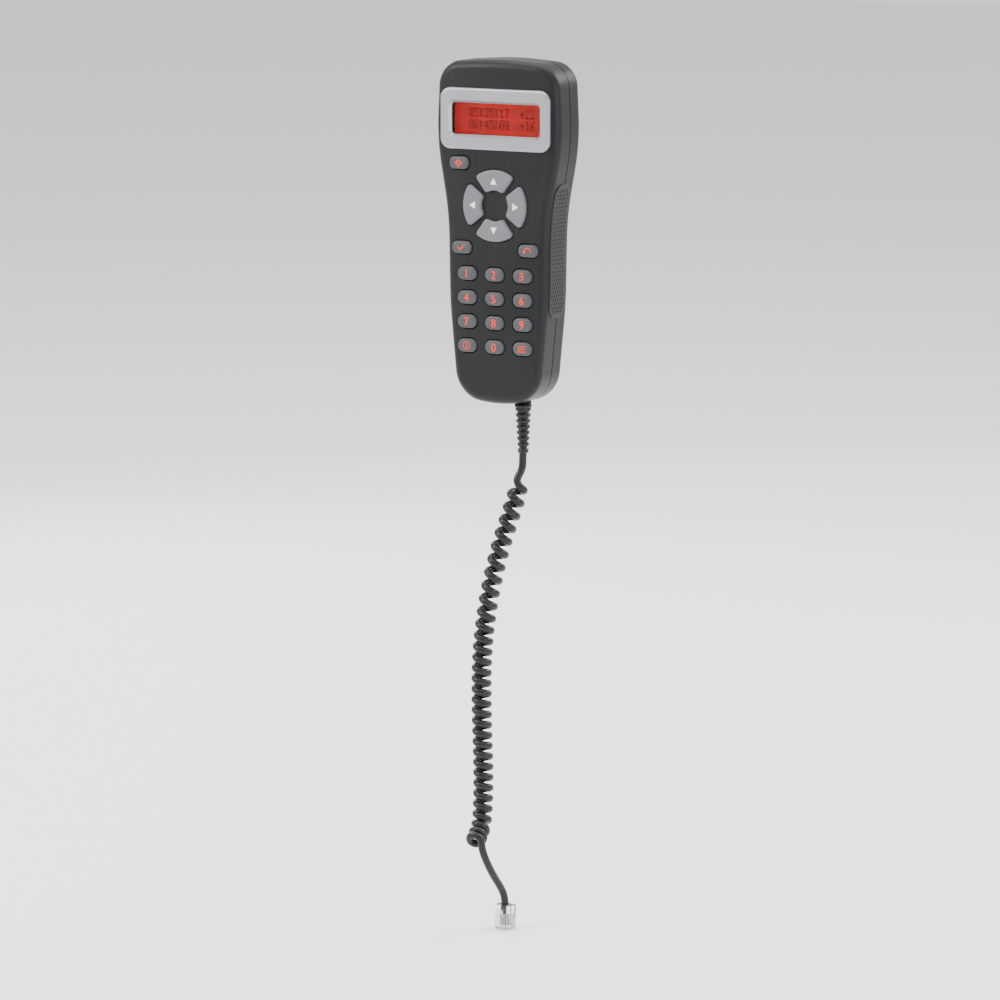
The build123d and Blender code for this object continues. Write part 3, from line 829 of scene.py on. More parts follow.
@dataclass
class SideGrip:
    """A soft side grip: a pad with rounded edges that follows the case, and rows of small nubs."""

    node: str
    side: int
    corner: float = 7.0 * MM
    edge: float = 0.6 * MM
    sunk: float = 1.2 * MM
    steps_along: int = 72
    steps_across: int = 24
    nub_pitch: float = 2.5 * MM
    nub_size: Triple = (0.9 * MM, 1.5 * MM, 1.5 * MM)
    nub_margin: float = 2.2 * MM
    ray_start: float = 100.0 * MM
    rim: float = 0.05 * MM

    def build(self, material: bpy.types.Material) -> None:
        """Build the pad and its nubs in place of the node.

        Args:
            material: The rubber's finish.
        """
        low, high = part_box(self.node)
        centre = ((low[1] + high[1]) / 2, (low[2] + high[2]) / 2)
        half = ((high[1] - low[1]) / 2, (high[2] - low[2]) / 2)
        surface = self.surface(low, high)
        mesh = mesh_from(self.node + "_pad", self.rows(centre, half, surface), closed=False)
        pad = piece(self.node + "_pad", mesh, material, "case", "grip_rubber")
        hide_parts(self.node)
        places = []
        for y, z in self.nub_places(half):
            places.append(Vector((surface(centre[1] + z), centre[0] + y, centre[1] + z)))
        nubs = InstanceTree(self.node + "_nubs", SmallShape.BALL, material).spread(places, self.nub_size)
        piece(self.node + "_nubs", nubs, material, "case", "grip_rubber")

    def surface(self, low: Sequence[float], high: Sequence[float]) -> Callable[[float], float]:
        """Measure the frame's grip.

        Args:
            low: The lower corner of its box.
            high: The upper corner of its box.

        Returns:
            A function that gives the x of its outer face at a height.
        """
        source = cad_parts[self.node]
        points = [source.matrix_world @ vert.co for vert in source.data.vertices]
        tree = BVHTree.FromPolygons(points, [tuple(face.vertices) for face in source.data.polygons])
        across = (high[1] - self.edge, (low[1] + high[1]) / 2)

        def at(height: float) -> float:
            """The x of the outer face at this height."""
            level = min(max(height, low[2] + self.rim), high[2] - self.rim)
            starts = [Vector((self.side * self.ray_start, y, level)) for y in across]
            hits = [tree.ray_cast(start, Vector((-self.side, 0, 0)))[0] for start in starts]
            return self.side * max(hit.x * self.side for hit in hits if hit is not None)

        return at

    def depth(self, y: float, z: float, half: Point) -> float:
        """How far a place is inside the pad's outline.

        Args:
            y: The place's depth from the pad's middle.
            z: The place's height from the pad's middle.
            half: Half the pad's size, in (y, z).

        Returns:
            The distance to the outline, negative outside it.
        """
        over_y, over_z = abs(y) - (half[0] - self.corner), abs(z) - (half[1] - self.corner)
        outside = math.hypot(max(over_y, 0.0), max(over_z, 0.0))
        return self.corner - outside - min(max(over_y, over_z), 0.0)

    def rows(self, centre: Point, half: Point, surface: Callable[[float], float]) -> list[list[Vector]]:
        """Rows of points across the pad, from its lower end to its upper end.

        Args:
            centre: The pad's middle, in (y, z).
            half: Half the pad's size, in (y, z).
            surface: The x of the outer face at a height.

        Returns:
            The rows, with a sunk border all round.
        """
        rows = []
        for step in range(self.steps_along + 1):
            z = half[1] * math.sin(math.pi * (step / self.steps_along - 0.5))
            into_corner = max(0.0, abs(z) - (half[1] - self.corner))
            width = half[0] - self.corner + math.sqrt(max(0.0, self.corner**2 - into_corner**2))
            face = surface(centre[1] + z)
            row = []
            for column in range(self.steps_across + 1):
                y = width * math.sin(math.pi * (column / self.steps_across - 0.5))
                missing = self.edge - min(max(self.depth(y, z, half), 0.0), self.edge)
                drop = self.edge - math.sqrt(self.edge**2 - missing**2)
                row.append(Vector((face - self.side * drop, centre[0] + y, centre[1] + z)))
            border = Vector((face - self.side * self.sunk - row[0].x, 0, 0))
            rows.append([row[0] + border, *row, row[-1] + border])
        border = Vector((-self.side * (self.sunk - self.edge), 0, 0))
        return [[place + border for place in rows[0]], *rows, [place + border for place in rows[-1]]]

    def nub_places(self, half: Point) -> list[Point]:
        """Staggered places for the nubs, away from the pad's edge.

        Args:
            half: Half the pad's size, in (y, z).

        Returns:
            The places from the pad's middle, in (y, z).
        """
        rise = self.nub_pitch * math.sqrt(3) / 2
        rows, columns = int(half[1] / rise), int(half[0] / self.nub_pitch)
        places = []
        for row in range(-rows, rows + 1):
            shift = self.nub_pitch / 2 if row % 2 else 0.0
            for column in range(-columns - 1, columns + 1):
                y, z = column * self.nub_pitch + shift, row * rise
                if self.depth(y, z, half) >= self.nub_margin:
                    places.append((y, z))
        return places


@dataclass
class Insides:
    """The boards and parts inside, which show only when the case is open."""

    def build(self) -> None:
        """Dress every hidden node."""
        board = GrainedPlastic("board_lacquer", (0.01, 0.12, 0.05), 0.34, 0.8 * MM, 0.01 * MM, 0.1).material()
        dark = GrainedPlastic("chip_moulding", (0.02, 0.02, 0.021), 0.5, 0.2 * MM, 0.01 * MM, 0.1).material()
        white = GrainedPlastic("white_moulding", (0.7, 0.69, 0.66), 0.4, 0.6 * MM, 0.01 * MM, 0.1).material()
        gold = PlatedMetal("gold_plate", (0.86, 0.62, 0.24), 0.22).material()
        lamp = LitInk("lamp_glow", (0.9, 0.08, 0.03), 0.6).material()
        mat = SoftRubber("mat_silicone", (0.05, 0.05, 0.052)).material()
        choices = {
            board: ("main_board", "display_board"),
            dark: ("controller_chip", "memory_chip", "small_parts", "cord_tie"),
            white: ("display_backlight", "display_ribbon", "cord_header"),
            gold: ("key_contacts", "serial_contacts", "plug_contacts"),
            lamp: ("key_lamps",),
            mat: ("keypad_mat",),
        }
        for material, nodes in choices.items():
            for node in nodes:
                dress(node, material)
        jack = GrainedPlastic("jack_moulding", (0.015, 0.015, 0.016), 0.33, 0.4 * MM, 0.008 * MM, 0.2)
        dress("serial_jack", jack.material())


# ------------------------------------------------------------------ the keypad
@dataclass
class Keypad:
    """Nineteen keys with lit digits and symbols."""

    flange_width: float = 0.75 * MM
    flange_face: float = -24.3 * MM
    ring_centre: Point = (0.0, 14.0 * MM)
    ring_inner: float = 8.3 * MM
    ring_outer: float = 19.3 * MM
    ring_half: float = 37.0
    ring_corner: float = 1.8 * MM
    function_corner: float = 3.0 * MM
    digit_size: float = 6.16 * MM
    digit_weight: float = 0.06 * MM
    digit_resolution: int = 6
    arrow_size: float = 2.3 * MM
    stroke: float = 0.55 * MM
    lift: float = 0.03 * MM
    shape: CapShape = CapShape()
    angles: dict[str, float] = field(
        default_factory=lambda: {"key_right": 0.0, "key_up": 90.0, "key_left": 180.0, "key_down": 270.0})

    def build(self) -> None:
        """Build every key's cap and its symbol."""
        dark = SoftRubber("dark_silicone", (0.05, 0.051, 0.054), 0.5, 0.25).material()
        grey = SoftRubber("grey_silicone", (0.13, 0.133, 0.14), 0.45, 0.25).material()
        ink = LitInk("key_ink", (0.8, 0.03, 0.008), 0.55).material()
        pale = LitInk("key_ink_pale", (0.92, 0.9, 0.86), 0.15).material()
        for node in sorted(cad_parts):
            kind = self.kind(node)
            if kind is None:
                continue
            outline = self.outline(node, kind)
            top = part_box(node)[0][1]
            finish, slot = (grey, "direction_key") if kind is KeyKind.DIRECTION else (dark, "key_silicone")
            name = node.replace("key_", "cap_")
            mesh = self.shape.build(name, outline, top, self.flange_face, self.corner(node, kind))
            cap = piece(name, mesh, finish, node + "_press", slot)
            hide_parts(node)
            mark = self.mark(node, kind, outline, top)
            colour = pale if kind is KeyKind.DIRECTION else ink
            piece(node.replace("key_", "mark_"), mark, colour, node + "_press", slot)

    def kind(self, node: str) -> KeyKind | None:
        """What kind of key a node is.

        Args:
            node: The node's name.

        Returns:
            The kind, or None when it isn't a key.
        """
        if not node.startswith("key_") or node in ("key_contacts", "key_lamps"):
            return None
        if node in self.angles:
            return KeyKind.DIRECTION
        if node in ("key_align", "key_enter", "key_undo"):
            return KeyKind.FUNCTION
        return KeyKind.PAD

    def corner(self, node: str, kind: KeyKind) -> float:
        """The radius of a key's corners.

        Args:
            node: The key's node.
            kind: What kind of key it is.

        Returns:
            The radius; a pad key has fully round ends.
        """
        if kind is KeyKind.DIRECTION:
            return self.ring_corner
        if kind is KeyKind.FUNCTION:
            return self.function_corner
        low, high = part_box(node)
        return (high[2] - low[2]) / 2 - self.flange_width

    def outline(self, node: str, kind: KeyKind) -> list[Point]:
        """A key's outline, from its node's box or the ring's sizes.

        Args:
            node: The key's node.
            kind: What kind of key it is.

        Returns:
            The outline in (x, z), anticlockwise.
        """
        if kind is KeyKind.DIRECTION:
            return sector_outline(
                self.ring_centre, self.ring_inner, self.ring_outer, self.ring_half, self.angles[node],
                self.ring_corner)
        low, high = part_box(node)
        centre = ((low[0] + high[0]) / 2, (low[2] + high[2]) / 2)
        width = high[0] - low[0] - 2 * self.flange_width
        height = high[2] - low[2] - 2 * self.flange_width
        return rounded_outline(centre, width, height, self.corner(node, kind))

    def mark(self, node: str, kind: KeyKind, outline: Sequence[Point], top: float) -> bpy.types.Mesh:
        """A key's digit or symbol, laid on its cap.

        Args:
            node: The key's node.
            kind: What kind of key it is.
            outline: The key's outline.
            top: The y of the cap's highest point.

        Returns:
            The mark's mesh, in place.
        """
        word = node.removeprefix("key_")
        middle = (sum(x for x, _ in outline) / len(outline), sum(z for _, z in outline) / len(outline))
        depth = top - self.lift
        if word.isdigit():
            return self.digit(word, middle, depth)
        if kind is KeyKind.DIRECTION:
            strokes = [arc((0.0, 0.0), self.arrow_size, self.angles[node], self.angles[node] + 240, 2)]
        else:
            strokes = self.symbol(word)
        work = bmesh.new()
        for stroke in strokes:
            verts = [work.verts.new((middle[0] + x, depth, middle[1] + z)) for x, z in stroke]
            work.faces.new(verts)
        bmesh.ops.triangulate(work, faces=work.faces)
        for face in work.faces:
            face.normal_update()
            if face.normal.y > 0:
                face.normal_flip()
        mesh = bpy.data.meshes.new(node + "_mark")
        work.to_mesh(mesh)
        work.free()
        return mesh

    def digit(self, word: str, middle: Point, depth: float) -> bpy.types.Mesh:
        """A digit as a flat mesh that faces the front, centred on its key.

        Args:
            word: The digit.
            middle: The key's middle.
            depth: The y that it lies at.

        Returns:
            The digit's mesh, in place.
        """
        text = bpy.data.curves.new("digit_" + word, "FONT")
        text.body = word
        text.size = self.digit_size
        text.offset = self.digit_weight
        text.resolution_u = self.digit_resolution
        mesh = plain_mesh(linked("digit_" + word, text))
        across = [vert.co.x for vert in mesh.vertices]
        up = [vert.co.y for vert in mesh.vertices]
        centre = Vector(((min(across) + max(across)) / 2, (min(up) + max(up)) / 2, 0))
        turn = Matrix.Rotation(math.pi / 2, 4, "X")
        mesh.transform(Matrix.Translation((middle[0], depth, middle[1])) @ turn @ Matrix.Translation(-centre))
        return mesh

    def symbol(self, word: str) -> list[list[Point]]:
        """The strokes of a key's symbol.

        Args:
            word: The key's purpose.

        Returns:
            Closed outlines about the key's middle.
        """
        if word == "menu":
            return [bar((-2.4, z), (2.4, z), self.stroke) for z in (-1.4, 0.0, 1.4)]
        if word == "info":
            stem = [bar((0, -1.15), (0, 0.25), self.stroke), bar((0, 0.65), (0, 1.15), self.stroke)]
            return hoop((0.0, 0.0), 2.05 * MM, 0.4 * MM, 360) + stem
        if word == "align":
            sight = hoop((0.0, 0.0), 1.3 * MM, self.stroke, 360)
            for x, z in ((1, 0), (0, 1), (-1, 0), (0, -1)):
                sight.append(bar((x * 1.6, z * 1.6), (x * 2.5, z * 2.5), self.stroke))
            return [*sight, arc((0.0, 0.0), 0.4 * MM, 0, 330, 11)]
        if word == "enter":
            tick = ((-2.4, 0.2), (-0.7, -1.6), (2.4, 1.5), (2.0, 1.9), (-0.7, -0.8), (-2.0, 0.6))
            return [[(x * MM, z * MM) for x, z in tick]]
        head = [(-3.0 * MM, -0.1 * MM), (-0.9 * MM, -0.1 * MM), (-1.95 * MM, -1.6 * MM)]
        return hoop((0.0, -0.3 * MM), 1.95 * MM, self.stroke, 180) + [head]


def bar(start: Point, end: Point, thick: float) -> list[Point]:
    """A straight stroke between two points.

    Args:
        start: Its first point, in millimetres.
        end: Its last point, in millimetres.
        thick: How thick it is.

    Returns:
        Its closed outline.
    """
    first, last = Vector(start) * MM, Vector(end) * MM
    along = (last - first).normalized() * (thick / 2)
    side = Vector((-along.y, along.x))
    return [tuple(first - side), tuple(last - side), tuple(last + side), tuple(first + side)]


def hoop(centre: Point, radius: float, thick: float, end: float, steps: int = 24) -> list[list[Point]]:
    """A curved stroke from the right-hand side round.

    Args:
        centre: The curve's middle.
        radius: The radius of the stroke's middle.
        thick: How thick it is.
        end: The angle that it ends at, in degrees.
        steps: How many outlines it has.

    Returns:
        A row of small closed outlines.
    """
    outer = arc(centre, radius + thick / 2, 0, end, steps)
    inner = arc(centre, radius - thick / 2, 0, end, steps)
    return [[outer[step], outer[step + 1], inner[step + 1], inner[step]] for step in range(steps)]


# ------------------------------------------------------------------ the display
GLYPHS = {
    "0": "01110 10001 10011 10101 11001 10001 01110",
    "1": "00100 01100 00100 00100 00100 00100 01110",
    "2": "01110 10001 00001 00010 00100 01000 11111",
    "3": "11111 00010 00100 00010 00001 10001 01110",
    "4": "00010 00110 01010 10010 11111 00010 00010",
    "5": "11111 10000 11110 00001 00001 10001 01110",
    "6": "00110 01000 10000 11110 10001 10001 01110",
    "7": "11111 00001 00010 00100 01000 01000 01000",
    "8": "01110 10001 10001 01110 10001 10001 01110",
    "9": "01110 10001 10001 01111 00001 00010 01100",
    "+": "00000 00100 00100 11111 00100 00100 00000",
    ":": "00000 01100 01100 00000 01100 01100 00000",
}


@dataclass
class Display:
    """The window, its bezel and the lit cell with two rows of digits."""

    rows: tuple[str, ...] = ("  05:35:17  +22 ", "  06:45:09  +16 ")
    cell_width: float = 3.15 * MM
    cell_height: float = 6.3 * MM
    dots_across: int = 5
    dots_down: int = 7
    dot_pitch: Point = (0.54 * MM, 0.74 * MM)
    dot_fill: float = 0.86
    dot_thick: float = 0.02 * MM
    lift: float = 0.05 * MM

    def build(self) -> None:
        """Dress the display's nodes and lay out its dots."""
        dress("display_bezel", SilverPaint("silver_paint", (0.27, 0.275, 0.29)).material())
        window = ClearPlastic("clear_window", (0.98, 0.98, 0.98), 0.02, 0.002 * MM, 1.22)
        dress("display_window", window.material())
        cell = LitCell("lit_cell", (0.38, 0.006, 0.002), (0.3, 0.0045, 0.0016), 0.7)
        dress("display_glass", cell.material())
        low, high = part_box("display_glass")
        middle = Vector(((low[0] + high[0]) / 2, low[1] - self.lift, (low[2] + high[2]) / 2))
        behind = middle + Vector((0, self.lift / 2, 0))
        cells = []
        for row, text in enumerate(self.rows):
            cells += [behind + self.place(row, column) for column in range(len(text))]
        patch = LitInk("display_patch", (0.31, 0.0045, 0.0016), 0.62)
        self.lay_blocks("character_cells", patch, cells, (self.dots_across, self.dots_down))
        dots = [middle + dot for row, text in enumerate(self.rows) for dot in self.dots(row, text)]
        ink = GrainedPlastic("display_dots", (0.002, 0.0004, 0.0003), 0.6, 0.2 * MM, 0.002 * MM, 0.0, 0.05)
        self.lay_blocks("character_dots", ink, dots, (self.dot_fill, self.dot_fill))

    def lay_blocks(self, name: str, finish: Finish, places: Sequence[Vector], share: Point) -> None:
        """Lay one thin block on each place, as a piece.

        Args:
            name: The piece's name.
            finish: Its finish.
            places: Where the blocks go.
            share: The blocks' width and height, in dot pitches.
        """
        material = finish.material()
        size = (self.dot_pitch[0] * share[0], self.dot_thick, self.dot_pitch[1] * share[1])
        mesh = InstanceTree(name, SmallShape.BLOCK, material).spread(places, size)
        piece(name, mesh, material, "case", "display_cell")

    def place(self, row: int, column: int) -> Vector:
        """A character's middle, from the display's middle."""
        across = column - (len(self.rows[row]) - 1) / 2
        return Vector((across * self.cell_width, 0, ((len(self.rows) - 1) / 2 - row) * self.cell_height))

    def dots(self, row: int, text: str) -> list[Vector]:
        """The dark dots of one row of characters.

        Args:
            row: Which row it is, from the top.
            text: The row's characters.

        Returns:
            The dots' places, from the display's middle.
        """
        places = []
        for column, character in enumerate(text):
            for down, line in enumerate(GLYPHS.get(character, "").split()):
                for across, dot in enumerate(line):
                    if dot == "1":
                        x = (across - self.dots_across // 2) * self.dot_pitch[0]
                        z = (self.dots_down // 2 - down) * self.dot_pitch[1]
                        places.append(self.place(row, column) + Vector((x, 0, z)))
        return places


# ------------------------------------------------------------------ strain relief, cord and plug
@dataclass
class StrainRelief:
    """The flexible boot: a flange inside the case, a collar and a taper cut into flexing rings."""

    bore: float = 2.12 * MM
    flange_radius: float = 5.3 * MM
    flange_thick: float = 2.4 * MM
    wall_depth: float = 7.2 * MM
    collar_step: float = 0.35 * MM
    collar_slope: float = 0.1 * MM
    collar_length: float = 1.6 * MM
    collar_gap: float = 0.4 * MM
    rings: int = 7
    ring_gap: float = 1.3 * MM
    groove: float = 0.85 * MM
    softness: float = 0.25 * MM
    top_radius: float = 4.35 * MM
    end_radius: float = 2.95 * MM
    end_length: float = 2.5 * MM
    end_step: float = 0.1 * MM
    end_softness: Point = (0.4 * MM, 0.5 * MM)
    sides: int = 48

    def build(self, material: bpy.types.Material) -> None:
        """Build the boot around its axis and put it in place of its node.

        Args:
            material: The rubber's finish.
        """
        low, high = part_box("strain_relief")
        centre = ((low[0] + high[0]) / 2, (low[1] + high[1]) / 2)
        rows = []
        for radius, height in self.profile(low[2], high[2]):
            rows.append([Vector((x, y, height)) for x, y in arc(centre, radius, 0, 360, self.sides)[:-1]])
        mesh = mesh_from("strain_relief_boot", rows, around=True)
        boot = piece("strain_relief_boot", mesh, material, "case", "cord_jacket")
        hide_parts("strain_relief")

    def profile(self, low: float, high: float) -> list[Point]:
        """The boot's outline as radius and height, from the bore's top round to its bottom.

        Args:
            low: The height of its lower end.
            high: The height of its flange's top.

        Returns:
            The outline, without the closing point.
        """
        flange, wall = high - self.flange_thick, high - self.wall_depth
        collar_radius, collar_end = self.top_radius + self.collar_step, wall - self.collar_length
        start = collar_end - self.collar_gap
        pitch = (start - low - self.end_length) / self.rings
        soft = self.softness
        outline = [
            (self.bore, high), (self.flange_radius, high), (self.flange_radius, flange),
            (self.top_radius, flange), (self.top_radius, wall),
            (collar_radius, wall - self.collar_slope), (collar_radius, collar_end)]
        for ring in range(self.rings):
            top, bottom = start - ring * pitch, start - (ring + 1) * pitch
            radius, end = self.radius_at(top, start, low), self.radius_at(bottom, start, low)
            lip = bottom + self.ring_gap
            outline += [(radius - soft, top), (radius, top - soft), (end, lip + soft), (end - soft, lip)]
            outline += [(end - self.groove, lip - soft / 2), (end - self.groove, bottom + soft / 2)]
        inwards, upwards = self.end_softness
        outline += [
            (self.end_radius, low + self.end_length - self.end_step), (self.end_radius, low + upwards),
            (self.end_radius - inwards, low), (self.bore, low)]
        return outline

    def radius_at(self, height: float, start: float, low: float) -> float:
        """The taper's radius at a height between its start and its lower end."""
        return self.top_radius + (self.end_radius - self.top_radius) * (start - height) / (start - low)


@dataclass
class CurlyCord:
    """The cord: a short lead, a coil that hangs under its own weight, and a straight lead to the plug.

    The last sizes, from exit_across to plug_depth, are in the millimetres that a route's points take.
    """

    diameter: float = 4.2 * MM
    length: float = 0.845
    coil_outside: float = 11.5 * MM
    pitch_low: float = 5.8 * MM
    pitch_high: float = 7.4 * MM
    stretch_from: float = 135 * MM
    stretch_to: float = 178 * MM
    points_per_turn: int = 16
    points_cut_off: int = 11
    grow_turns: float = 1.4
    swing_shares: tuple[float, ...] = (0.0, 0.26, 0.47, 0.63, 0.75, 0.84, 0.91, 0.96)
    swing_reach: float = 0.45
    exit: Triple = (9.0 * MM, -13.0 * MM, -120.5 * MM)
    inside_boot: float = 27.0 * MM
    hang_angle: float = 30.0
    axis_resolution: int = 40
    resolution: int = 6
    bevel_resolution: int = 8
    exit_across: float = 9.6
    exit_height: float = 250.0
    straight: float = 6.0
    plug_depth: float = 5.0

    def at(self, across: float, height: float, near: float = 0.0) -> Vector:
        """A point of the hanging cord, in millimetres from the plug's cord entry.

        Args:
            across: How far it is to the side, in the plane that the cord hangs in.
            height: How far it is above the entry.
            near: How far it is in front of that plane.

        Returns:
            The point in the frame, in metres.
        """
        turn = math.radians(self.hang_angle)
        side = Vector((math.cos(turn), math.sin(turn), 0))
        front = Vector((math.sin(turn), -math.cos(turn), 0))
        entry = Vector(self.exit) - side * (self.exit_across * MM) - Vector((0, 0, self.exit_height * MM))
        return entry + (side * across + front * near + Vector((0, 0, height))) * MM

    def coil_route(self) -> list[Vector]:
        """The axis of the coil, from its top to its last turn."""
        return [
            self.at(9.6, 237.5), self.at(6.9, 229.0), self.at(-3.6, 196.0), self.at(-9.6, 168.0),
            self.at(-13.0, 138.0), self.at(-12.9, 104.0), self.at(-11.8, 74.0), self.at(-12.4, 46.5, 0.3),
            self.at(-15.0, 39.4, 6.2), self.at(-16.6, 37.6, 13.0),
        ]

    def lower_lead(self) -> list[Vector]:
        """The lead's route, from the coil's last turn into the plug."""
        return [
            self.at(-12.5, 33.2, 13.8), self.at(-10.4, 27.0, 12.4), self.at(-6.6, 18.0, 7.8),
            self.at(-2.4, 10.0, 2.4), self.at(0.0, 3.5), self.at(0.0, -self.plug_depth),
        ]

    def upper_lead(self, end: Vector, heading: Vector) -> list[Vector]:
        """The lead's route, from inside the boot, straight down and then in a swing to the first turn.

        Args:
            end: The first point of the coil.
            heading: The coil's direction there.

        Returns:
            The route, up to just before the end; its points close up as it swings.
        """
        start = self.at(self.exit_across, self.exit_height - self.straight)
        reach = (end - start).length * self.swing_reach
        knee, handle = start - Vector((0, 0, reach)), end - heading.normalized() * reach
        route = [Vector(self.exit) + Vector((0, 0, self.inside_boot))]
        for share in self.swing_shares:
            first, second, third = start.lerp(knee, share), knee.lerp(handle, share), handle.lerp(end, share)
            route.append(first.lerp(second, share).lerp(second.lerp(third, share), share))
        return route

    def spline(self, name: str, points: Sequence[Vector], resolution: int) -> bpy.types.Curve:
        """A curve of one smooth open spline.

        Args:
            name: The curve's name.
            points: Its control points.
            resolution: How many points each of its spans is drawn with.

        Returns:
            The curve, with no thickness yet.
        """
        curve = bpy.data.curves.new(name, "CURVE")
        curve.dimensions = "3D"
        line = curve.splines.new("NURBS")
        line.points.add(len(points) - 1)
        for control, point in zip(line.points, points):
            control.co = (*point, 1.0)
        line.order_u = 3
        line.use_endpoint_u = True
        line.resolution_u = resolution
        return curve

    def axis(self) -> list[Vector]:
        """The coil's axis as close points on its smooth route.

        Returns:
            The points, from the coil's last turn to its top.
        """
        route = self.spline("cord_axis", self.coil_route(), self.axis_resolution)
        points = [vert.co.copy() for vert in plain_mesh(linked("cord_axis", route)).vertices]
        return points[::-1]

    def helix(self) -> list[Vector]:
        """The coil's turns, worked back from its last turn to its first.

        Returns:
            The points of the wire's middle, from the top down.
        """
        axis = self.axis()
        radius = (self.coil_outside - self.diameter) / 2
        normal = (self.at(1, 0) - self.at(0, 0)).normalized()
        entry = self.at(0, 0).z
        total = sum((back - here).length for here, back in zip(axis, axis[1:]))
        points, turned, done, owed = [], 0.0, 0.0, 0.0
        for here, back in zip(axis, axis[1:]):
            span = (back - here).length
            heading = (here - back).normalized()
            normal = (normal - heading * normal.dot(heading)).normalized()
            pitch = self.pitch_at(here.z - entry)
            while owed < span:
                reach = radius * eased((total - done - owed) / (self.grow_turns * pitch))
                angle = 2 * math.pi * turned
                offset = normal * math.cos(angle) + heading.cross(normal) * math.sin(angle)
                points.append(here.lerp(back, owed / span) + offset * reach)
                owed += pitch / self.points_per_turn
                turned += 1 / self.points_per_turn
            owed -= span
            done += span
        points.reverse()
        return points[self.points_cut_off:]

    def pitch_at(self, height: float) -> float:
        """The space between turns, which the coil's own weight opens towards its top."""
        opened = eased((height - self.stretch_from) / (self.stretch_to - self.stretch_from))
        return self.pitch_low + (self.pitch_high - self.pitch_low) * opened

    def build(self, material: bpy.types.Material) -> None:
        """Args:
            material: The jacket's finish.
        """
        turns = self.helix()
        points = [*self.upper_lead(turns[0], turns[1] - turns[0]), *turns, *self.lower_lead()]
        curve = self.spline("curly_cord", points, self.resolution)
        curve.bevel_depth = self.diameter / 2
        curve.bevel_resolution = self.bevel_resolution
        curve.use_fill_caps = True
        curve.materials.append(material)
        cord = linked("curly_cord", curve)
        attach(cord, "case")
        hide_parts("cord_upper_lead", "cord_coil", "cord_lower_lead")
        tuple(self.exit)
        log.info("curly_cord has %d points", len(points))


@dataclass
class Plug:
    """The clear plug with its coloured wires and gold blades."""

    plug_pitch: float = 1.02 * MM
    inner_pitch: float = 1.8 * MM
    colours: tuple[Colour, ...] = (
        (0.75, 0.75, 0.73), (0.02, 0.02, 0.02), (0.6, 0.03, 0.02),
        (0.03, 0.3, 0.07), (0.75, 0.55, 0.04), (0.03, 0.1, 0.5))

    def build(self) -> None:
        """Dress the plug's nodes and the wires at the cord's two ends."""
        clear = ClearPlastic("clear_plug", (0.86, 0.88, 0.9), 0.08, 0.006 * MM).material()
        for node in ("plug_body", "plug_latch"):
            dress(node, clear)
        self.stripe("plug_conductors", "plug_wires", "plug_body", self.plug_pitch)
        self.stripe("cord_wires", "inner_wires", "cord_wires", self.inner_pitch)

    def stripe(self, node: str, name: str, around: str, pitch: float) -> None:
        """Dress a node of six wires.

        Args:
            node: The wires' node.
            name: The finish's name.
            around: The node whose middle the wires lie about.
            pitch: The space from wire to wire.
        """
        low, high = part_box(around)
        dress(node, StripedInsulation(name, (low[0] + high[0]) / 2, pitch, self.colours).material())


# ------------------------------------------------------------------ stage
@dataclass(frozen=True)
class Lamp:
    """A soft square light that faces the middle of the object."""

    name: str
    offset: Triple
    size: float
    power: float

    def build(self, target: Vector) -> None:
        """Make the light.

        Args:
            target: The middle of the object.
        """
        data = bpy.data.lights.new(self.name, "AREA")
        data.energy = self.power
        data.size = self.size
        place = target + Vector(self.offset)
        aim(linked(self.name, data), place, target - place)


def aim(made: bpy.types.Object, place: Vector, heading: Vector) -> None:
    """Stand a light or a camera at a place and turn it to a heading."""
    made.location = place
    made.rotation_euler = heading.to_track_quat("-Z", "Y").to_euler()


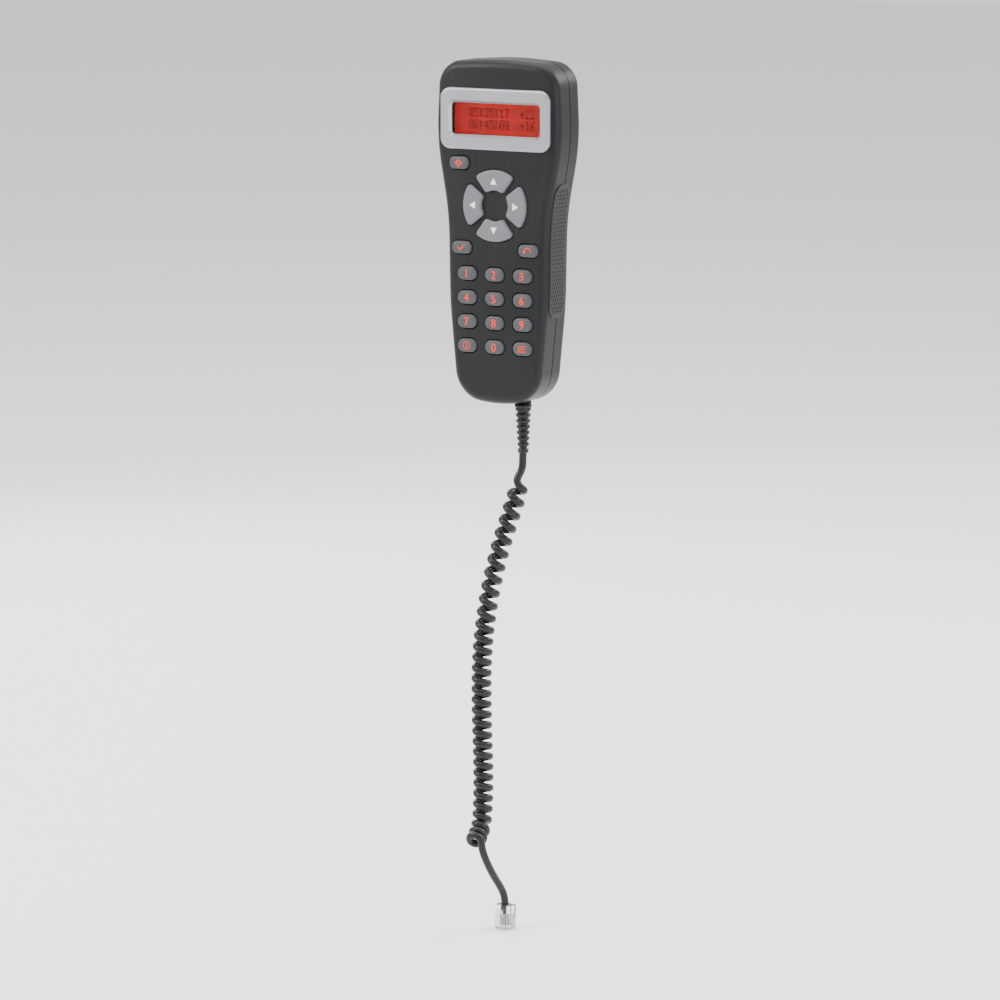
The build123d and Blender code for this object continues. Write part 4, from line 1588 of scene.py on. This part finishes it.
@dataclass
class Stage:
    """A pale floor, soft lights and the camera."""

    azimuth: float = 30.0
    elevation: float = 9.0
    distance: float = 2.7
    lens: float = 180.0
    floor_gap: float = 0.5 * MM
    floor_reach: float = 8.0
    sky_colour: Colour = (0.93, 0.94, 0.96)
    sky_strength: float = 1.15
    lamps: tuple[Lamp, ...] = (
        Lamp("key_light", (-1.0, -1.0, 0.8), 0.6, 22.0),
        Lamp("fill_light", (1.5, -0.5, 0.3), 0.5, 8.0),
        Lamp("rim_light", (0.8, 1.1, 0.9), 0.6, 20.0),
        Lamp("back_fill", (-1.1, 0.9, 0.5), 0.6, 9.0),
        Lamp("top_light", (0.0, 0.0, 2.6), 3.0, 130.0))

    def build(self) -> None:
        """Make the floor, the surround, the camera and the lights."""
        low, high = CAD_BOX
        middle = (Vector(low) + Vector(high)) / 2
        self.floor(low[2] - self.floor_gap)
        self.sky()
        self.camera(middle)
        for lamp in self.lamps:
            lamp.build(middle)

    def floor(self, height: float) -> None:
        """A large pale floor just below the plug.

        Args:
            height: The floor's height.
        """
        ends = (-self.floor_reach, self.floor_reach)
        mesh = mesh_from("floor", [[Vector((x, y, height)) for x in ends] for y in ends], closed=False)
        shader = Shader("floor_paper")
        shader.paint(shader.mixed(shader.noise(4 * MM, 4.0), (0.86, 0.86, 0.865), (0.9, 0.9, 0.9)))
        shader.fix(Roughness=0.75)
        mesh.materials.append(shader.material)
        linked("floor", mesh)

    def sky(self) -> None:
        """An even, nearly white surround."""
        world = bpy.data.worlds.new("studio")
        world.use_nodes = True
        background = world.node_tree.nodes["Background"]
        background.inputs["Color"].default_value = (*self.sky_colour, 1.0)
        background.inputs["Strength"].default_value = self.sky_strength
        bpy.context.scene.world = world

    def camera(self, target: Vector) -> None:
        """A long lens, a little above the middle of the object.

        Args:
            target: The middle of the object.
        """
        turn, tilt = math.radians(self.azimuth), math.radians(self.elevation)
        away = Vector((math.sin(turn) * math.cos(tilt), -math.cos(turn) * math.cos(tilt), math.sin(tilt)))
        data = bpy.data.cameras.new("camera")
        data.lens = self.lens
        made = linked("camera", data)
        aim(made, target + away * self.distance, -away)
        bpy.context.scene.camera = made


def main() -> None:
    """Build the stage and every sub-assembly."""
    logging.basicConfig(level=logging.INFO, format="%(name)s: %(message)s")
    Stage().build()
    jacket = CordJacket("satin_jacket", (0.005, 0.005, 0.0055)).material()
    CurlyCord().build(jacket)
    StrainRelief().build(jacket)
    Plug().build()
    Case().build()
    Insides().build()
    Keypad().build()
    Display().build()


if __name__ == "__main__":
    main()
